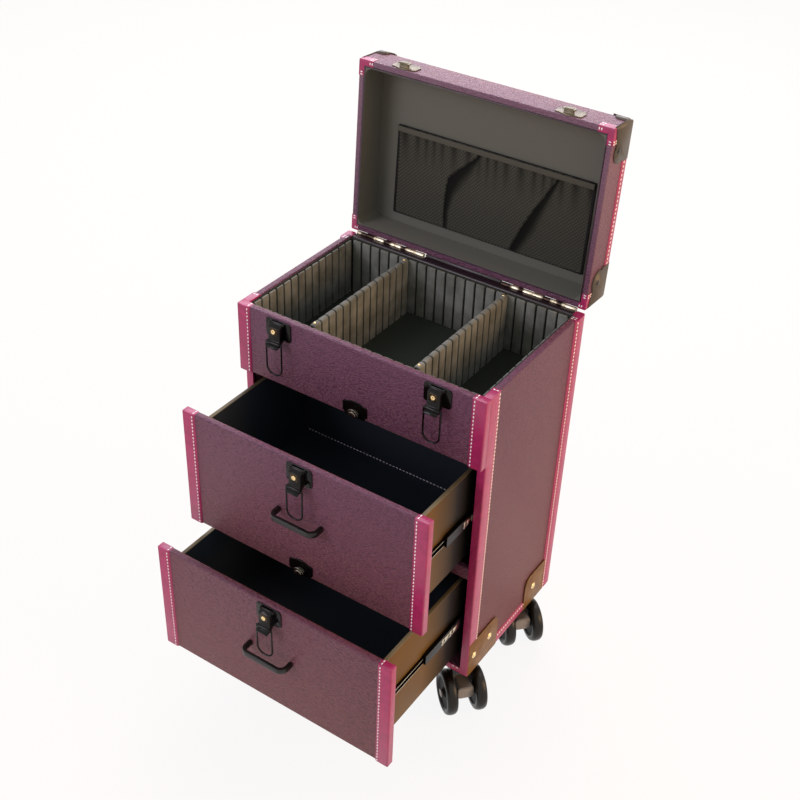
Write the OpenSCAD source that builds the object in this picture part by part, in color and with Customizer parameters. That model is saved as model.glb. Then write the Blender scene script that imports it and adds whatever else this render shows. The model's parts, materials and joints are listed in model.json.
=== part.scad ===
/* [Case] */
// Width of the case over its side panels
body_w = 340; // [310:5:400]
// Depth of the case from its fronts to its back panel
body_d = 224; // [220:2:280]
// Thickness of the boards of the case and of the fronts
panel_t = 9; // [7:0.5:10]
// Height of the apron in front of the top compartment
apron_h = 93; // [90:1:120]
// Depth of the top compartment below the rim
compartment_h = 82; // [70:1:84]
// Gap between two fronts
reveal = 2; // [1.5:0.5:3]
// Height of the bottom board's edge that shows below the lowest front
foot_reveal = 6; // [4:0.5:9]
// Height of the rail between the drawers
rail_h = 18; // [12:1:24]
// Thickness of the leather bindings
binding_t = 0.8; // [0.5:0.1:1]
// Width of the bindings on the ends of the fronts
front_band_w = 17; // [12:0.5:20]
// Width of the bindings on the upright edges of the sides
side_band_w = 21; // [14:0.5:24]
// Width of the bindings on the bottom edges of the sides
edge_band_w = 15; // [10:0.5:18]
// Gap between a closed front and the binding behind it
front_gap = 0.3; // [0.2:0.1:0.6]

/* [Top compartment] */
// Thickness of the padded wall lining
lining_t = 4; // [3:0.5:6]
// Thickness of the floor lining
floor_lining_t = 2; // [1:0.5:3]
// Distance of each divider from the middle
divider_x = 72; // [55:1:90]
// Thickness of a divider
divider_t = 8; // [6:0.5:10]
// Gap round soft parts
soft_gap = 0.3; // [0.2:0.05:0.5]
// How far the lining and the dividers end below the rim
lining_drop = 1; // [0.5:0.5:4]
// Radius of the brass studs on the dividers
stud_r = 1.8; // [1.2:0.1:2.5]

/* [Drawers] */
// Height of the upper drawer's front
drawer_1_h = 166; // [150:1:190]
// Height of the lower drawer's front
drawer_2_h = 163; // [150:1:190]
// Gap between a closed drawer's box and the back panel
drawer_back_gap = 6; // [5:0.5:40]
// Thickness of the drawer walls
drawer_wall = 5; // [3:0.5:7]
// Thickness of the drawer floors
drawer_floor_t = 4; // [2:0.5:6]
// How far the drawer walls end below the front's top edge
wall_drop = 14; // [8:1:24]
// How far the drawer box starts above the front's bottom edge
box_lift = 21; // [14:1:30]
// How far the upper drawer stands open
extension_1 = 105.5; // [0:0.5:190]
// How far the lower drawer stands open
extension_2 = 166.5; // [0:0.5:190]

/* [Slides] */
// Space for a slide between the drawer wall and the side panel
slide_space = 9; // [8:0.5:11]
// Height of the outer slide member
slide_h = 20; // [18:1:24]
// Gap between a slide member and the back panel
slide_back_gap = 3.7; // [1.7:0.5:30]
// Height of the slide's centre above the front's bottom edge
slide_lift = 86; // [60:1:110]
// Thickness of the slide members' sheet steel
slide_t = 1; // [0.8:0.1:1.2]
// Gap between two members that holds the balls
ball_gap = 2; // [1.8:0.1:2.2]
// Running gap beside a ball
ball_clearance = 0.06; // [0.03:0.01:0.1]
// Number of balls in a row
ball_count = 8; // [5:1:10]
// Distance between two balls
ball_pitch = 11; // [8:0.5:14]

/* [Drawer handles] */
// Distance between the two feet of a handle
handle_w = 61; // [56:1:90]
// How far a handle stands out
handle_out = 20; // [18:0.5:30]
// Depth of the handle bar
handle_bar_d = 5; // [4:0.5:7]
// Height of the handle bar
handle_bar_h = 7; // [5:0.5:10]
// Outer radius of the handle's bends
handle_bend_r = 11; // [8:0.5:14]
// Distance of the handle below the front's top edge
handle_drop = 79; // [78:1:100]

/* [Lid] */
// Height of the lid
lid_h = 50; // [46:1:70]
// Thickness of the lid's walls and top
lid_wall = 7; // [5:0.5:9]
// Gap between the closed lid and the rim
lid_gap = 0.6; // [0.4:0.1:1]
// Radius of the lid's top edges at the front and the back
lid_edge_r = 12; // [5:0.5:14]
// Radius of the lid's top edges at the sides
lid_side_r = 7; // [3:0.5:9]
// Width of the bindings on the lid's edges
lid_band_w = 15.5; // [10:0.5:20]
// Angle at which the lid stands open
lid_open = 93.3; // [0:0.1:100]
// Thickness of the lid's lining
lid_lining_t = 2; // [1.5:0.5:3]
// Inner corner radius of the lid's lining
lid_lining_r = 9; // [6:1:26]
// Width of the mesh pocket
pocket_w = 274; // [200:2:280]
// Height of the mesh pocket
pocket_h = 117; // [80:1:130]
// Thickness of the mesh pocket
pocket_t = 5; // [3:0.5:10]
// Distance of the pocket from the lid's back
pocket_back = 23; // [18:1:40]
// How far the mesh pocket sits to the right of the middle
pocket_x = 5; // [-5:1:5]
// Thickness of the lid's corner protectors
corner_t = 2; // [1:0.25:2.5]
// Reach of a corner protector along the lid's side
corner_reach = 46; // [36:1:60]
// Reach of a corner protector along the lid's front and back
corner_front_reach = 19; // [14:1:30]

/* [Hinges] */
// Length of a lid hinge
hinge_len = 103; // [70:1:120]
// Distance of a hinge's outer end from the side of the case
hinge_inset = 10.5; // [9:0.5:40]
// Radius of the hinge barrel
barrel_r = 3; // [2.5:0.25:4]
// Radius of the hinge pin
hinge_pin_r = 1.5; // [1.2:0.1:1.8]
// Thickness of a hinge leaf
leaf_t = 1.2; // [0.8:0.1:1.5]
// Height of a hinge leaf
leaf_h = 22; // [14:1:30]
// Number of knuckles of a hinge
knuckles = 7; // [3:2:11]
// Running clearance of a pin in its bore
pin_clearance = 0.05; // [0.02:0.01:0.08]
// Thickness of the stop rail between the hinges
stop_t = 7; // [5:0.5:9]
// Height of the stop rail below the rim
stop_h = 20; // [12:1:30]

/* [Latches] */
// Distance of the lid latches from the sides
latch_inset = 60; // [50:1:90]
// Width of a latch base plate
latch_plate_w = 36; // [32:1:44]
// Height of a latch base plate
latch_plate_h = 25; // [23:0.5:30]
// Distance of the base plate below the top edge
latch_drop = 2.5; // [2:0.5:6]
// Thickness of latch and keeper plates
latch_t = 1.5; // [1:0.1:1.8]
// Width of a latch lever
lever_w = 16.6; // [14:0.2:18]
// How far the lever's face stands out
lever_out = 9.8; // [9:0.1:12]
// Radius of the lever's hinge pin
lever_pin_r = 1.1; // [0.9:0.1:1.3]
// Height of the bail's pivot below the top edge
bail_pivot_z = 28.5; // [28:0.1:30]
// Distance of the bail's pivot from the front
bail_pivot_y = 10.5; // [10:0.1:12]
// Diameter of the bail's wire
wire_d = 2.2; // [1.8:0.1:2.6]
// Width of a bail between the centres of its legs
bail_w = 22; // [21.8:0.1:26]
// Length of a bail between its pivot and its cross bar
bail_len = 44; // [40:0.5:46]
// Radius of a bail's bends
bail_bend_r = 10; // [9:0.5:10.5]
// Angle past upright at which the bail sits behind the hook
bail_over = 8.7; // [7.5:0.1:9.5]
// Angle by which the lever opens
lever_open = 110; // [60:5:120]
// Width of a keeper plate
keeper_w = 34; // [28:1:44]
// Height of a keeper plate
keeper_h = 22; // [20:0.5:24]
// Width of a keeper's stud
hook_w = 16; // [12:0.5:17]
// Height of the lip on a keeper's stud
hook_lip = 2.5; // [1.5:0.5:3]
// Radius of the brass key cylinder
lock_r = 2.9; // [2.5:0.1:4.5]
// Distance of the key cylinder below the top edge
lock_z = 13; // [12.5:0.5:18]
// Width of the plate round the key cylinder
lock_face_w = 11; // [9:0.5:14]
// Height of the plate round the key cylinder
lock_face_h = 9.5; // [8:0.5:12]

/* [Carry handle] */
// Distance between the pivots of the carry handle
carry_w = 116; // [90:2:150]
// Height of the carry handle from its pivots to the outside of its grip
carry_h = 44; // [36:1:54]
// Diameter of the carry handle's grip
grip_d = 12; // [10:0.5:16]
// Height of the handle's pivots above the lid
carry_pivot_z = 8; // [7:0.5:12]
// Radius of the handle's pivots
carry_pin_r = 3; // [2.5:0.25:4]
// Length of a handle bracket's foot
bracket_len = 26; // [20:1:32]
// Width of a handle bracket's foot
bracket_w = 16; // [12:1:20]
// Thickness of a handle bracket's post
bracket_t = 3; // [2:0.5:4]

/* [Casters] */
// Height of the casters under the case
caster_h = 72; // [68:1:90]
// Radius of a caster wheel
wheel_r = 30; // [24:0.5:32]
// Width of one wheel of a pair
wheel_t = 15; // [9:0.5:16]
// Width over a pair of wheels
wheel_span = 54; // [50:0.5:58]
// Distance of the wheels' axle behind the swivel's axis
trail = 28; // [24:0.5:30]
// Angle of the casters about the vertical
caster_turn = 49; // [-180:1:180]
// Distance of the casters from the sides
caster_inset = 31.5; // [28:0.5:50]
// Distance of the front casters from the front
caster_front = 40; // [30:1:60]
// Distance of the back casters from the back
caster_back = 35.5; // [30:0.5:60]
// Radius of the axle
axle_r = 4; // [3:0.25:5]
// Radius of the swivel pin
kingpin_r = 5; // [4:0.25:6]
// Side of a caster's mounting plate
caster_plate_w = 44; // [36:1:52]
// Thickness of a caster's mounting plate
caster_plate_t = 2.5; // [1.5:0.5:4]

/* [Corner patches] */
// Length of a bottom corner patch along the side
patch_len = 71; // [50:1:80]
// Height of a bottom corner patch
patch_h = 54; // [40:1:70]
// Thickness of a bottom corner patch
patch_t = 1.2; // [0.8:0.1:2]

/* [Hidden] */
$fn = 48;

// Colours
leather = "#5a3c55";
magenta = "#a02c5c";
black = "#1c1c1e";
lining_grey = "#5c584c";
steel = "#c8c8c4";
brass = "#b8923c";

// Main planes of the case
half_w = body_w / 2;
front_y = -body_d / 2;
back_y = body_d / 2;
inner_x = half_w - panel_t;
edge_y = front_y + panel_t + front_gap;
case_z = caster_h;
drawer_2_z = case_z + foot_reveal;
drawer_1_z = drawer_2_z + drawer_2_h + reveal;
apron_z = drawer_1_z + drawer_1_h + reveal;
rim_z = apron_z + apron_h;
body_h = rim_z - case_z;
floor_z = rim_z - compartment_h;
rail_z = drawer_1_z - reveal / 2;

// Inside faces of the top compartment
lining_x = inner_x - soft_gap;
lining_y = body_d / 2 - panel_t - soft_gap;
lining_top = rim_z - lining_drop;

// Drawer boxes
box_x = inner_x - slide_space;
box_y = front_y + panel_t;
drawer_depth = back_y - panel_t - drawer_back_gap - box_y;

// Slide members, from the side panel towards the drawer
outer_flange_d = slide_space * 0.55;
middle_web = slide_space * 0.35;
middle_end = slide_space - slide_t - 0.4;
inner_start = slide_space * 0.6;
middle_h = slide_h - 2 * (slide_t + ball_gap);
inner_h = middle_h - 2 * (slide_t + ball_gap);
ball_r = ball_gap / 2 - ball_clearance;
cage_t = ball_gap * 0.45;
slide_front = edge_y + 2;
slide_len = back_y - panel_t - slide_back_gap - slide_front;

// Lid
lid_z = rim_z + lid_gap;
lid_top = lid_z + lid_h;
hinge_y = back_y + barrel_r;
hinge_z = rim_z;
hinge_end = half_w - hinge_inset;
hinge_x = hinge_end - hinge_len / 2;
stop_angle = max(lid_open, 90);
stop_x = hinge_x - hinge_len / 2 - 1;
stop_gap = 0.15;
lid_lining_z = lid_z + lid_h - lid_wall - soft_gap;

// Latch
latch_x = half_w - latch_inset;
lever_pin_y = 3.6;
lever_pin_z = latch_drop + 3;
cheek_t = 1;
cheek_r = 2.2;
cheek_x = lever_w / 2 + 0.3;
eye_r = lever_pin_y - latch_t - 0.2;
ear_r = 2.6;
ear_x = lever_w / 2 + 1.3;
wire_r = wire_d / 2;
hook_gap = 0.35;
bar_y = bail_pivot_y - bail_len * sin(bail_over);
shelf_z = bail_len * cos(bail_over) - bail_pivot_z - wire_r - hook_gap;
lip_y = bar_y + wire_r + hook_gap;
lip_t = 1.5;
neck_r = hook_w * 0.375;
stud_head_r = hook_w / 2;

// Casters
housing_w = wheel_span - 2 * wheel_t - 0.6;
nose_out = trail + 16;
nose_h = 20;
nose_z = wheel_r + nose_h / 2;
pin_len = 17;
plate_z = case_z - caster_plate_t;
swivel_top = plate_z - 0.3;

// -------------------------------------------------------------- plain helpers

// Box given by its lowest and highest corners
module box(low, high) {
  translate(low) cube(high - low);
}

// Copies of the children on the left and the right
module both_sides() {
  for (side = [-1, 1]) scale_side(side) children();
}

// The children as drawn on the right, or mirrored to the left
module scale_side(side) {
  if (side > 0) children();
  else mirror([1, 0, 0]) children();
}

// Rectangle round its centre with rounded corners
module round_rect(size, r) {
  square([size.x - 2 * r, size.y], center = true);
  square([size.x, size.y - 2 * r], center = true);
  for (x = [-1, 1], y = [-1, 1])
    translate([x * (size.x / 2 - r), y * (size.y / 2 - r)]) circle(r);
}

// Two discs and the straight flanks between them, set in by inset
module link_2d(a, ra, b, rb, inset = 0) {
  heading = atan2(b.y - a.y, b.x - a.x);
  flank = acos((ra - rb) / norm(b - a));
  rim = function(c, r, turn) c + (r - inset) * [cos(heading + turn), sin(heading + turn)];
  translate(a) circle(ra);
  translate(b) circle(rb);
  polygon([rim(a, ra, flank), rim(b, rb, flank), rim(b, rb, -flank), rim(a, ra, -flank)]);
}

// Extrudes a profile drawn as [out of the front, height] along X, round X = 0
module along_x(w) {
  translate([-w / 2, 0, 0]) rotate([90, 0, 90]) linear_extrude(w) scale_side(-1) children();
}

// Cylinder along X, round X = 0
module rod_x(r, w) {
  rotate([0, 90, 0]) cylinder(r = r, h = w, center = true);
}

// Places a front fitting: X sideways, -Y out of the front, Z up from the edge
module on_front(x, z, extension = 0) {
  translate([x, front_y - extension, z]) children();
}

// Turns what is drawn on the closed lid to where the lid stands open
module lid_pose() {
  translate([0, hinge_y, hinge_z]) rotate([-lid_open, 0, 0])
    translate([0, -hinge_y, -hinge_z]) children();
}

// ----------------------------------------------------------------- the case

module side_panel(side) {
  color(leather) scale_side(side) {
    box([inner_x, edge_y + binding_t, case_z], [half_w, back_y, rim_z]);
    box([inner_x, front_y + panel_t, apron_z], [half_w, edge_y + binding_t, rim_z]);
  }
}

// Back panel, with the stop rail between the hinges that the open lid leans on
module back_panel() {
  far = stop_t - barrel_r;
  lip_in = barrel_r / 2;
  stop_top = (barrel_r - stop_gap + far * cos(stop_angle)) / sin(stop_angle);
  color(leather) {
    box([-inner_x, back_y - panel_t, case_z], [inner_x, back_y, rim_z]);
    translate([-stop_x, 0, hinge_z]) rotate([90, 0, 90]) linear_extrude(2 * stop_x) polygon([
      [back_y, -stop_h], [hinge_y + far, -stop_h], [hinge_y + far, stop_top],
      [hinge_y + lip_in, stop_top], [hinge_y + lip_in, 0], [back_y, 0]
    ]);
  }
}

module apron() {
  color(leather) box([-half_w, front_y, apron_z], [half_w, front_y + panel_t, rim_z]);
}

module compartment_floor() {
  color(leather)
    box([-inner_x, front_y + panel_t, floor_z - panel_t], [inner_x, back_y - panel_t, floor_z]);
}

module drawer_rail() {
  color(leather)
    box([-inner_x, edge_y, rail_z - rail_h / 2], [inner_x, edge_y + panel_t, rail_z + rail_h / 2]);
}

module bottom_panel() {
  color(leather)
    box([-inner_x, edge_y + binding_t, case_z], [inner_x, back_y - panel_t, case_z + panel_t]);
}

// Leather band folded round both ends of a front
module front_binding(z, h) {
  both_sides() {
    box([half_w - front_band_w, front_y - binding_t, z], [half_w, front_y, z + h]);
    box([half_w, front_y - binding_t, z], [half_w + binding_t, front_y + panel_t, z + h]);
  }
}

module case_bindings() {
  color(magenta) {
    front_binding(apron_z, apron_h);
    box([-inner_x, edge_y, case_z], [inner_x, edge_y + binding_t, case_z + panel_t]);
    both_sides() {
      box([half_w, front_y + panel_t, case_z],
          [half_w + binding_t, edge_y + side_band_w, rim_z]);
      box([inner_x, edge_y, case_z], [half_w + binding_t, edge_y + binding_t, apron_z - reveal]);
      box([half_w, back_y - side_band_w, case_z], [half_w + binding_t, back_y, rim_z]);
      box([hinge_end + 1, back_y, case_z], [half_w + binding_t, back_y + binding_t, rim_z]);
      box([half_w, edge_y + side_band_w, case_z],
          [half_w + binding_t, back_y - side_band_w, case_z + edge_band_w]);
    }
  }
}

module compartment_lining() {
  wall = lining_t;
  color(lining_grey) difference() {
    box([-lining_x, -lining_y, floor_z + soft_gap], [lining_x, lining_y, lining_top]);
    box([wall - lining_x, wall - lining_y, floor_z + soft_gap + floor_lining_t],
        [lining_x - wall, lining_y - wall, lining_top + 1]);
  }
}

module dividers() {
  end_y = lining_y - lining_t - soft_gap;
  low = floor_z + floor_lining_t + 2 * soft_gap;
  color(lining_grey) for (x = [-divider_x, divider_x]) {
    box([x - divider_t / 2, -end_y, low], [x + divider_t / 2, end_y, lining_top - divider_t / 2]);
    translate([x, 0, lining_top - divider_t / 2]) rotate([90, 0, 0])
      cylinder(d = divider_t, h = 2 * end_y, center = true);
  }
}

module divider_studs() {
  stud_y = lining_y - lining_t - 4 - stud_r;
  color(brass) for (x = [-divider_x, divider_x], y = [-stud_y, stud_y])
    translate([x, y, lining_top]) cylinder(r1 = stud_r, r2 = stud_r * 0.7, h = 0.9);
}

// Patch on one bottom corner: a plate on the side and a turned flap under the case
module corner_patch(corner_y, inward) {
  big_r = 14;
  flap = 24;
  far_y = corner_y + inward * patch_len;
  out_x = half_w + binding_t;
  translate([out_x, 0, 0]) rotate([90, 0, 90]) linear_extrude(patch_t) {
    polygon([
      [corner_y, case_z], [far_y, case_z], [far_y, case_z + patch_h - big_r],
      [far_y - inward * big_r, case_z + patch_h], [corner_y, case_z + patch_h]
    ]);
    translate([far_y - inward * big_r, case_z + patch_h - big_r]) circle(big_r);
  }
  translate([0, 0, case_z - patch_t]) linear_extrude(patch_t)
    polygon([
      [out_x + patch_t, corner_y], [out_x - flap / 3, corner_y],
      [out_x - flap / 3, far_y], [out_x + patch_t, far_y]
    ]);
}

module corner_patches() {
  color(black) both_sides() {
    corner_patch(edge_y + 1, 1);
    corner_patch(back_y, -1);
  }
}

// ----------------------------------------------------------------- latches

// Base plate with two cheeks and the pin that the lever turns on
module latch_base() {
  rotate([90, 0, 0]) linear_extrude(latch_t)
    translate([0, -latch_drop - latch_plate_h / 2]) round_rect([latch_plate_w, latch_plate_h], 4);
  both_sides() translate([cheek_x + cheek_t / 2, 0, 0]) along_x(cheek_t) {
    translate([lever_pin_y, -lever_pin_z]) circle(cheek_r);
    translate([latch_t / 2, -lever_pin_z - cheek_r])
      square([lever_pin_y - latch_t / 2, 2 * cheek_r]);
  }
  translate([0, -lever_pin_y, -lever_pin_z]) rod_x(lever_pin_r, 2 * (cheek_x + cheek_t) + 0.4);
}

// Side view of the lever: eye, body, ear barrel and the curled finger lip
module lever_profile() {
  pin = [lever_pin_y, -lever_pin_z];
  ear = [bail_pivot_y, -bail_pivot_z];
  back = latch_t + 0.4;
  translate(pin) circle(eye_r);
  polygon([
    [back, -lever_pin_z], [back, 2 - bail_pivot_z], [back + 2, -bail_pivot_z],
    [ear.x, ear.y - ear_r + 0.4], [ear.x + 0.6, ear.y + 1], [lever_out, ear.y + ear_r + 2],
    [lever_out, -lever_pin_z - 2.5], [lever_pin_y + eye_r, -lever_pin_z + 0.6]
  ]);
}

module lever_lip() {
  link_2d([bail_pivot_y, 0.8 - bail_pivot_z - ear_r], 0.8,
          [bail_pivot_y + 2, -bail_pivot_z - ear_r - 1], 0.8);
  link_2d([bail_pivot_y + 2, -bail_pivot_z - ear_r - 1], 0.8,
          [bail_pivot_y + 5, -bail_pivot_z - ear_r - 1.6], 0.7);
}

module latch_lever() {
  difference() {
    union() {
      along_x(lever_w) lever_profile();
      along_x(lever_w) lever_lip();
      translate([0, -bail_pivot_y, -bail_pivot_z]) rod_x(ear_r, 2 * ear_x);
    }
    translate([0, -lever_pin_y, -lever_pin_z]) rod_x(lever_pin_r + pin_clearance, lever_w + 1);
    translate([0, -bail_pivot_y, -bail_pivot_z]) rod_x(wire_r + pin_clearance, 2 * ear_x + 1);
  }
}

// Brass face and key cylinder on the lever
module latch_lock() {
  plug_h = 1.6;
  slot = [0.9, lock_r * 1.2];
  translate([0, -lever_out, -lock_z]) rotate([90, 0, 0]) {
    linear_extrude(0.6) round_rect([lock_face_w, lock_face_h], 1.5);
    difference() {
      cylinder(r = lock_r, h = plug_h);
      translate([0, 0, plug_h]) cube([slot.x, slot.y, 1.2], center = true);
    }
  }
}

// Wire loop: two legs, a cross bar, and two ends turned into the lever's ears
module latch_bail() {
  leg_x = bail_w / 2;
  end_x = lever_w / 2 - 2.3;
  straight = bail_len - bail_bend_r;
  translate([0, -bail_pivot_y, -bail_pivot_z]) {
    both_sides() {
      translate([end_x, 0, 0]) rotate([0, 90, 0]) cylinder(r = wire_r, h = leg_x - end_x);
      translate([leg_x, 0, 0]) sphere(wire_r);
      translate([leg_x, 0, -straight]) cylinder(r = wire_r, h = straight);
      translate([leg_x - bail_bend_r, 0, -straight]) rotate([90, 0, 0])
        rotate_extrude(angle = -90) translate([bail_bend_r, 0]) circle(wire_r);
    }
    translate([0, 0, -bail_len]) rod_x(wire_r, bail_w - 2 * bail_bend_r);
  }
}

// Keeper: arched plate with a stepped round stud, whose lip holds the bail.
// The latch's top edge lies below the keeper's own edge by rise.
module keeper(rise, arch_up) {
  arch = 6;
  corner = arch_up ? 1 : -1;
  low = 0.5;
  stud_low = 4.5; // clear of the lock when the lever below is up
  neck_top = shelf_z - rise;
  rotate([90, 0, 0]) linear_extrude(latch_t) translate([0, keeper_h / 2 + low]) {
    round_rect([keeper_w, keeper_h - arch], 3);
    intersection() {
      translate([0, -corner * (keeper_w * 0.65 - keeper_h / 2)]) circle(keeper_w * 0.65);
      square([keeper_w - 6, keeper_h], center = true);
    }
  }
  intersection() {
    rotate([90, 0, 0]) {
      translate([0, neck_top - neck_r, 0]) cylinder(r = neck_r, h = lip_y + lip_t / 2);
      translate([0, neck_top + hook_lip - stud_head_r, lip_y])
        cylinder(r = stud_head_r, h = lip_t);
      translate([0, neck_top - neck_r, lip_y]) cylinder(r = neck_r - 1, h = lip_t + 0.8);
    }
    box([-hook_w, -2 * lip_y, stud_low], [hook_w, -latch_t / 2, keeper_h]);
  }
}

module apron_latch_plates() {
  color(black) {
    for (x = [-latch_x, latch_x]) on_front(x, rim_z) latch_base();
    on_front(0, apron_z) keeper(reveal, true);
  }
}

// Where a latch sits: name, x, top edge and how far its drawer stands open
latches = [
  ["left", -latch_x, rim_z, 0],
  ["right", latch_x, rim_z, 0],
  ["drawer_1", 0, drawer_1_z + drawer_1_h, extension_1],
  ["drawer_2", 0, drawer_2_z + drawer_2_h, extension_2]
];

// ----------------------------------------------------------------- slides

// C profile as [from the side panel, height]
module channel(web_at, web_side, depth_end, h) {
  lo = min(web_at, depth_end);
  hi = max(web_at, depth_end);
  difference() {
    translate([lo, -h / 2]) square([hi - lo, h]);
    translate([web_side > 0 ? lo + slide_t : lo - 1, slide_t - h / 2])
      square([hi - lo - slide_t + 1, h - 2 * slide_t]);
  }
}

// Extrudes a slide profile from the closed slide's front end to its back end
module slide_length(shift) {
  both_sides() translate([inner_x, slide_front + slide_len - shift, 0]) rotate([90, 0, 0])
    linear_extrude(slide_len) scale_side(-1) children();
}

// One row of balls in its cage strip, v from the slide's centre line
module ball_row(u, v, shift) {
  row_l = (ball_count - 1) * ball_pitch;
  both_sides() translate([inner_x - u, slide_front + slide_len / 2 - shift, v]) {
    cube([ball_r * 1.2, row_l + ball_pitch * 0.8, cage_t], center = true);
    for (i = [0 : ball_count - 1])
      translate([0, i * ball_pitch - row_l / 2, 0]) sphere(ball_r, $fn = 24);
  }
}

module outer_slides(z) {
  translate([0, 0, z + slide_lift]) slide_length(0) channel(0, 1, outer_flange_d, slide_h);
}

module middle_slides(z, extension) {
  outer_row = (middle_h + ball_gap) / 2;
  inner_row = (inner_h + ball_gap) / 2;
  color(steel) translate([0, 0, z + slide_lift]) {
    slide_length(extension / 2) channel(middle_web, 1, middle_end, middle_h);
    for (side = [-1, 1]) {
      ball_row((middle_web + outer_flange_d) / 2, side * outer_row, extension / 2);
      ball_row((inner_start + middle_end) / 2, side * inner_row, extension / 2);
    }
  }
}

module inner_slides(z, extension) {
  color(steel) translate([0, 0, z + slide_lift])
    slide_length(extension) channel(inner_start, -1, slide_space, inner_h);
}

module slide_outer_members() {
  color(steel) {
    outer_slides(drawer_1_z);
    outer_slides(drawer_2_z);
  }
}

// ----------------------------------------------------------------- drawers

module drawer_front(z, h, extension) {
  color(leather) translate([0, -extension, 0])
    box([-half_w, front_y, z], [half_w, front_y + panel_t, z + h]);
}

module drawer_box(z, h, extension) {
  low = z + box_lift;
  top = z + h - wall_drop;
  end_y = box_y + drawer_depth;
  color(black) translate([0, -extension, 0]) difference() {
    box([-box_x, box_y, low], [box_x, end_y, top]);
    box([drawer_wall - box_x, box_y - 1, low + drawer_floor_t],
        [box_x - drawer_wall, end_y - drawer_wall, top + 1]);
  }
}

module drawer_bindings(z, h, extension) {
  color(magenta) translate([0, -extension, 0]) front_binding(z, h);
}

module drawer_handle(z, h, extension) {
  outer = [handle_w + handle_bar_d, 2 * handle_out];
  color(black) on_front(0, z + h - handle_drop - handle_bar_h / 2, extension)
    linear_extrude(handle_bar_h) difference() {
      round_rect(outer, handle_bend_r);
      round_rect(outer - 2 * [handle_bar_d, handle_bar_d], handle_bend_r - handle_bar_d);
      translate([-outer.x, 0]) square(2 * outer);
    }
}

// ----------------------------------------------------------------- the lid

// Outline of the lid above its rim, grown by grow, with rounded top corners
module lid_arch_2d(half_span, r, grow) {
  half = half_span + grow;
  round_r = r + grow;
  h = lid_h + grow;
  translate([-half, lid_z]) square([2 * half, h - round_r]);
  translate([round_r - half, lid_z]) square([2 * (half - round_r), h]);
  for (side = [-1, 1]) translate([side * (half - round_r), lid_z + h - round_r]) circle(round_r);
}

// The lid's outer block, grown on every face but its rim
module lid_block(grow) {
  intersection() {
    translate([-half_w - grow, 0, 0]) rotate([90, 0, 90]) linear_extrude(2 * (half_w + grow))
      lid_arch_2d(body_d / 2, lid_edge_r, grow);
    rotate([90, 0, 0]) linear_extrude(body_d + 2 * grow, center = true)
      lid_arch_2d(half_w, lid_side_r, grow);
  }
}

module lid_shell() {
  color(leather) lid_pose() difference() {
    lid_block(0);
    box([lid_wall - half_w, front_y + lid_wall, lid_z - 1],
        [half_w - lid_wall, back_y - lid_wall, lid_top - lid_wall]);
  }
}

module lid_bindings() {
  color(magenta) lid_pose() both_sides() rotate([90, 0, 0])
    linear_extrude(body_d - 2 * corner_reach, center = true) intersection() {
      difference() {
        lid_arch_2d(half_w, lid_side_r, binding_t);
        lid_arch_2d(half_w, lid_side_r, 0);
      }
      translate([half_w - lid_band_w, lid_top - lid_band_w]) square(2 * lid_band_w);
    }
}

// Plan of the lid's lining, inset from the lid's walls
module lid_lining_2d(inset, r) {
  round_rect([body_w - 2 * (lid_wall + inset), body_d - 2 * (lid_wall + inset)], r);
}

module lid_lining() {
  color(lining_grey) lid_pose() difference() {
    translate([0, 0, lid_z + soft_gap]) linear_extrude(lid_lining_z - lid_z - soft_gap)
      lid_lining_2d(soft_gap, 2);
    translate([0, 0, lid_z - 1]) linear_extrude(lid_lining_z - lid_lining_t - lid_z + 1)
      lid_lining_2d(soft_gap + lid_lining_t, lid_lining_r);
  }
}

module mesh_pocket() {
  top = lid_lining_z - lid_lining_t - soft_gap;
  color(black) lid_pose()
    box([pocket_x - pocket_w / 2, back_y - pocket_back - pocket_h, top - pocket_t],
        [pocket_x + pocket_w / 2, back_y - pocket_back, top]);
}

module lid_keepers() {
  color(black) lid_pose() for (x = [-latch_x, latch_x]) on_front(x, lid_z) keeper(lid_gap, false);
}

// Outlines of a corner protector on the side, the front and the top of the lid
module corner_side_2d() {
  lobe_r = 14;
  lobe = [corner_reach - lobe_r - 1, lobe_r + 7];
  translate([front_y, lid_z]) {
    translate(lobe) circle(lobe_r);
    polygon([
      [-corner_t - 1, 4], [lobe.x - 7, lobe.y - 11], [lobe.x + 10, lobe.y - 1],
      [corner_reach, lid_h - lid_band_w], [corner_reach, lid_h + corner_t + 1],
      [-corner_t - 1, lid_h + corner_t + 1]
    ]);
  }
}

module corner_front_2d(reach, low) {
  r = 6;
  translate([half_w + corner_t - reach, low]) {
    translate([r, 0]) square([reach - r + 1, lid_h + corner_t]);
    translate([0, r]) square([reach + 1, lid_h + corner_t]);
    translate([r, r]) circle(r);
  }
}

module corner_protector(end_reach) {
  depth = lid_edge_r + 3;
  top_depth = lid_side_r + 1;
  top_reach = 24;
  difference() {
    intersection() {
      lid_block(corner_t);
      union() {
        translate([half_w - 1, 0, 0]) rotate([90, 0, 90]) linear_extrude(corner_t + 2)
          corner_side_2d();
        translate([0, front_y + depth, 0]) rotate([90, 0, 0])
          linear_extrude(depth + corner_t + 1) corner_front_2d(end_reach, lid_z + lid_h * 0.64);
        translate([0, 0, lid_top - top_depth]) linear_extrude(top_depth + corner_t + 1)
          translate([half_w + corner_t - top_reach, front_y - corner_t - 1])
            square([top_reach + 1, corner_reach + corner_t + 1]);
      }
    }
    lid_block(0);
  }
}

module lid_corners() {
  hinge_side_reach = min(corner_front_reach, half_w + corner_t - hinge_end - 1);
  color(black) lid_pose() both_sides() {
    corner_protector(corner_front_reach);
    mirror([0, 1, 0]) corner_protector(hinge_side_reach);
  }
}

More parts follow.
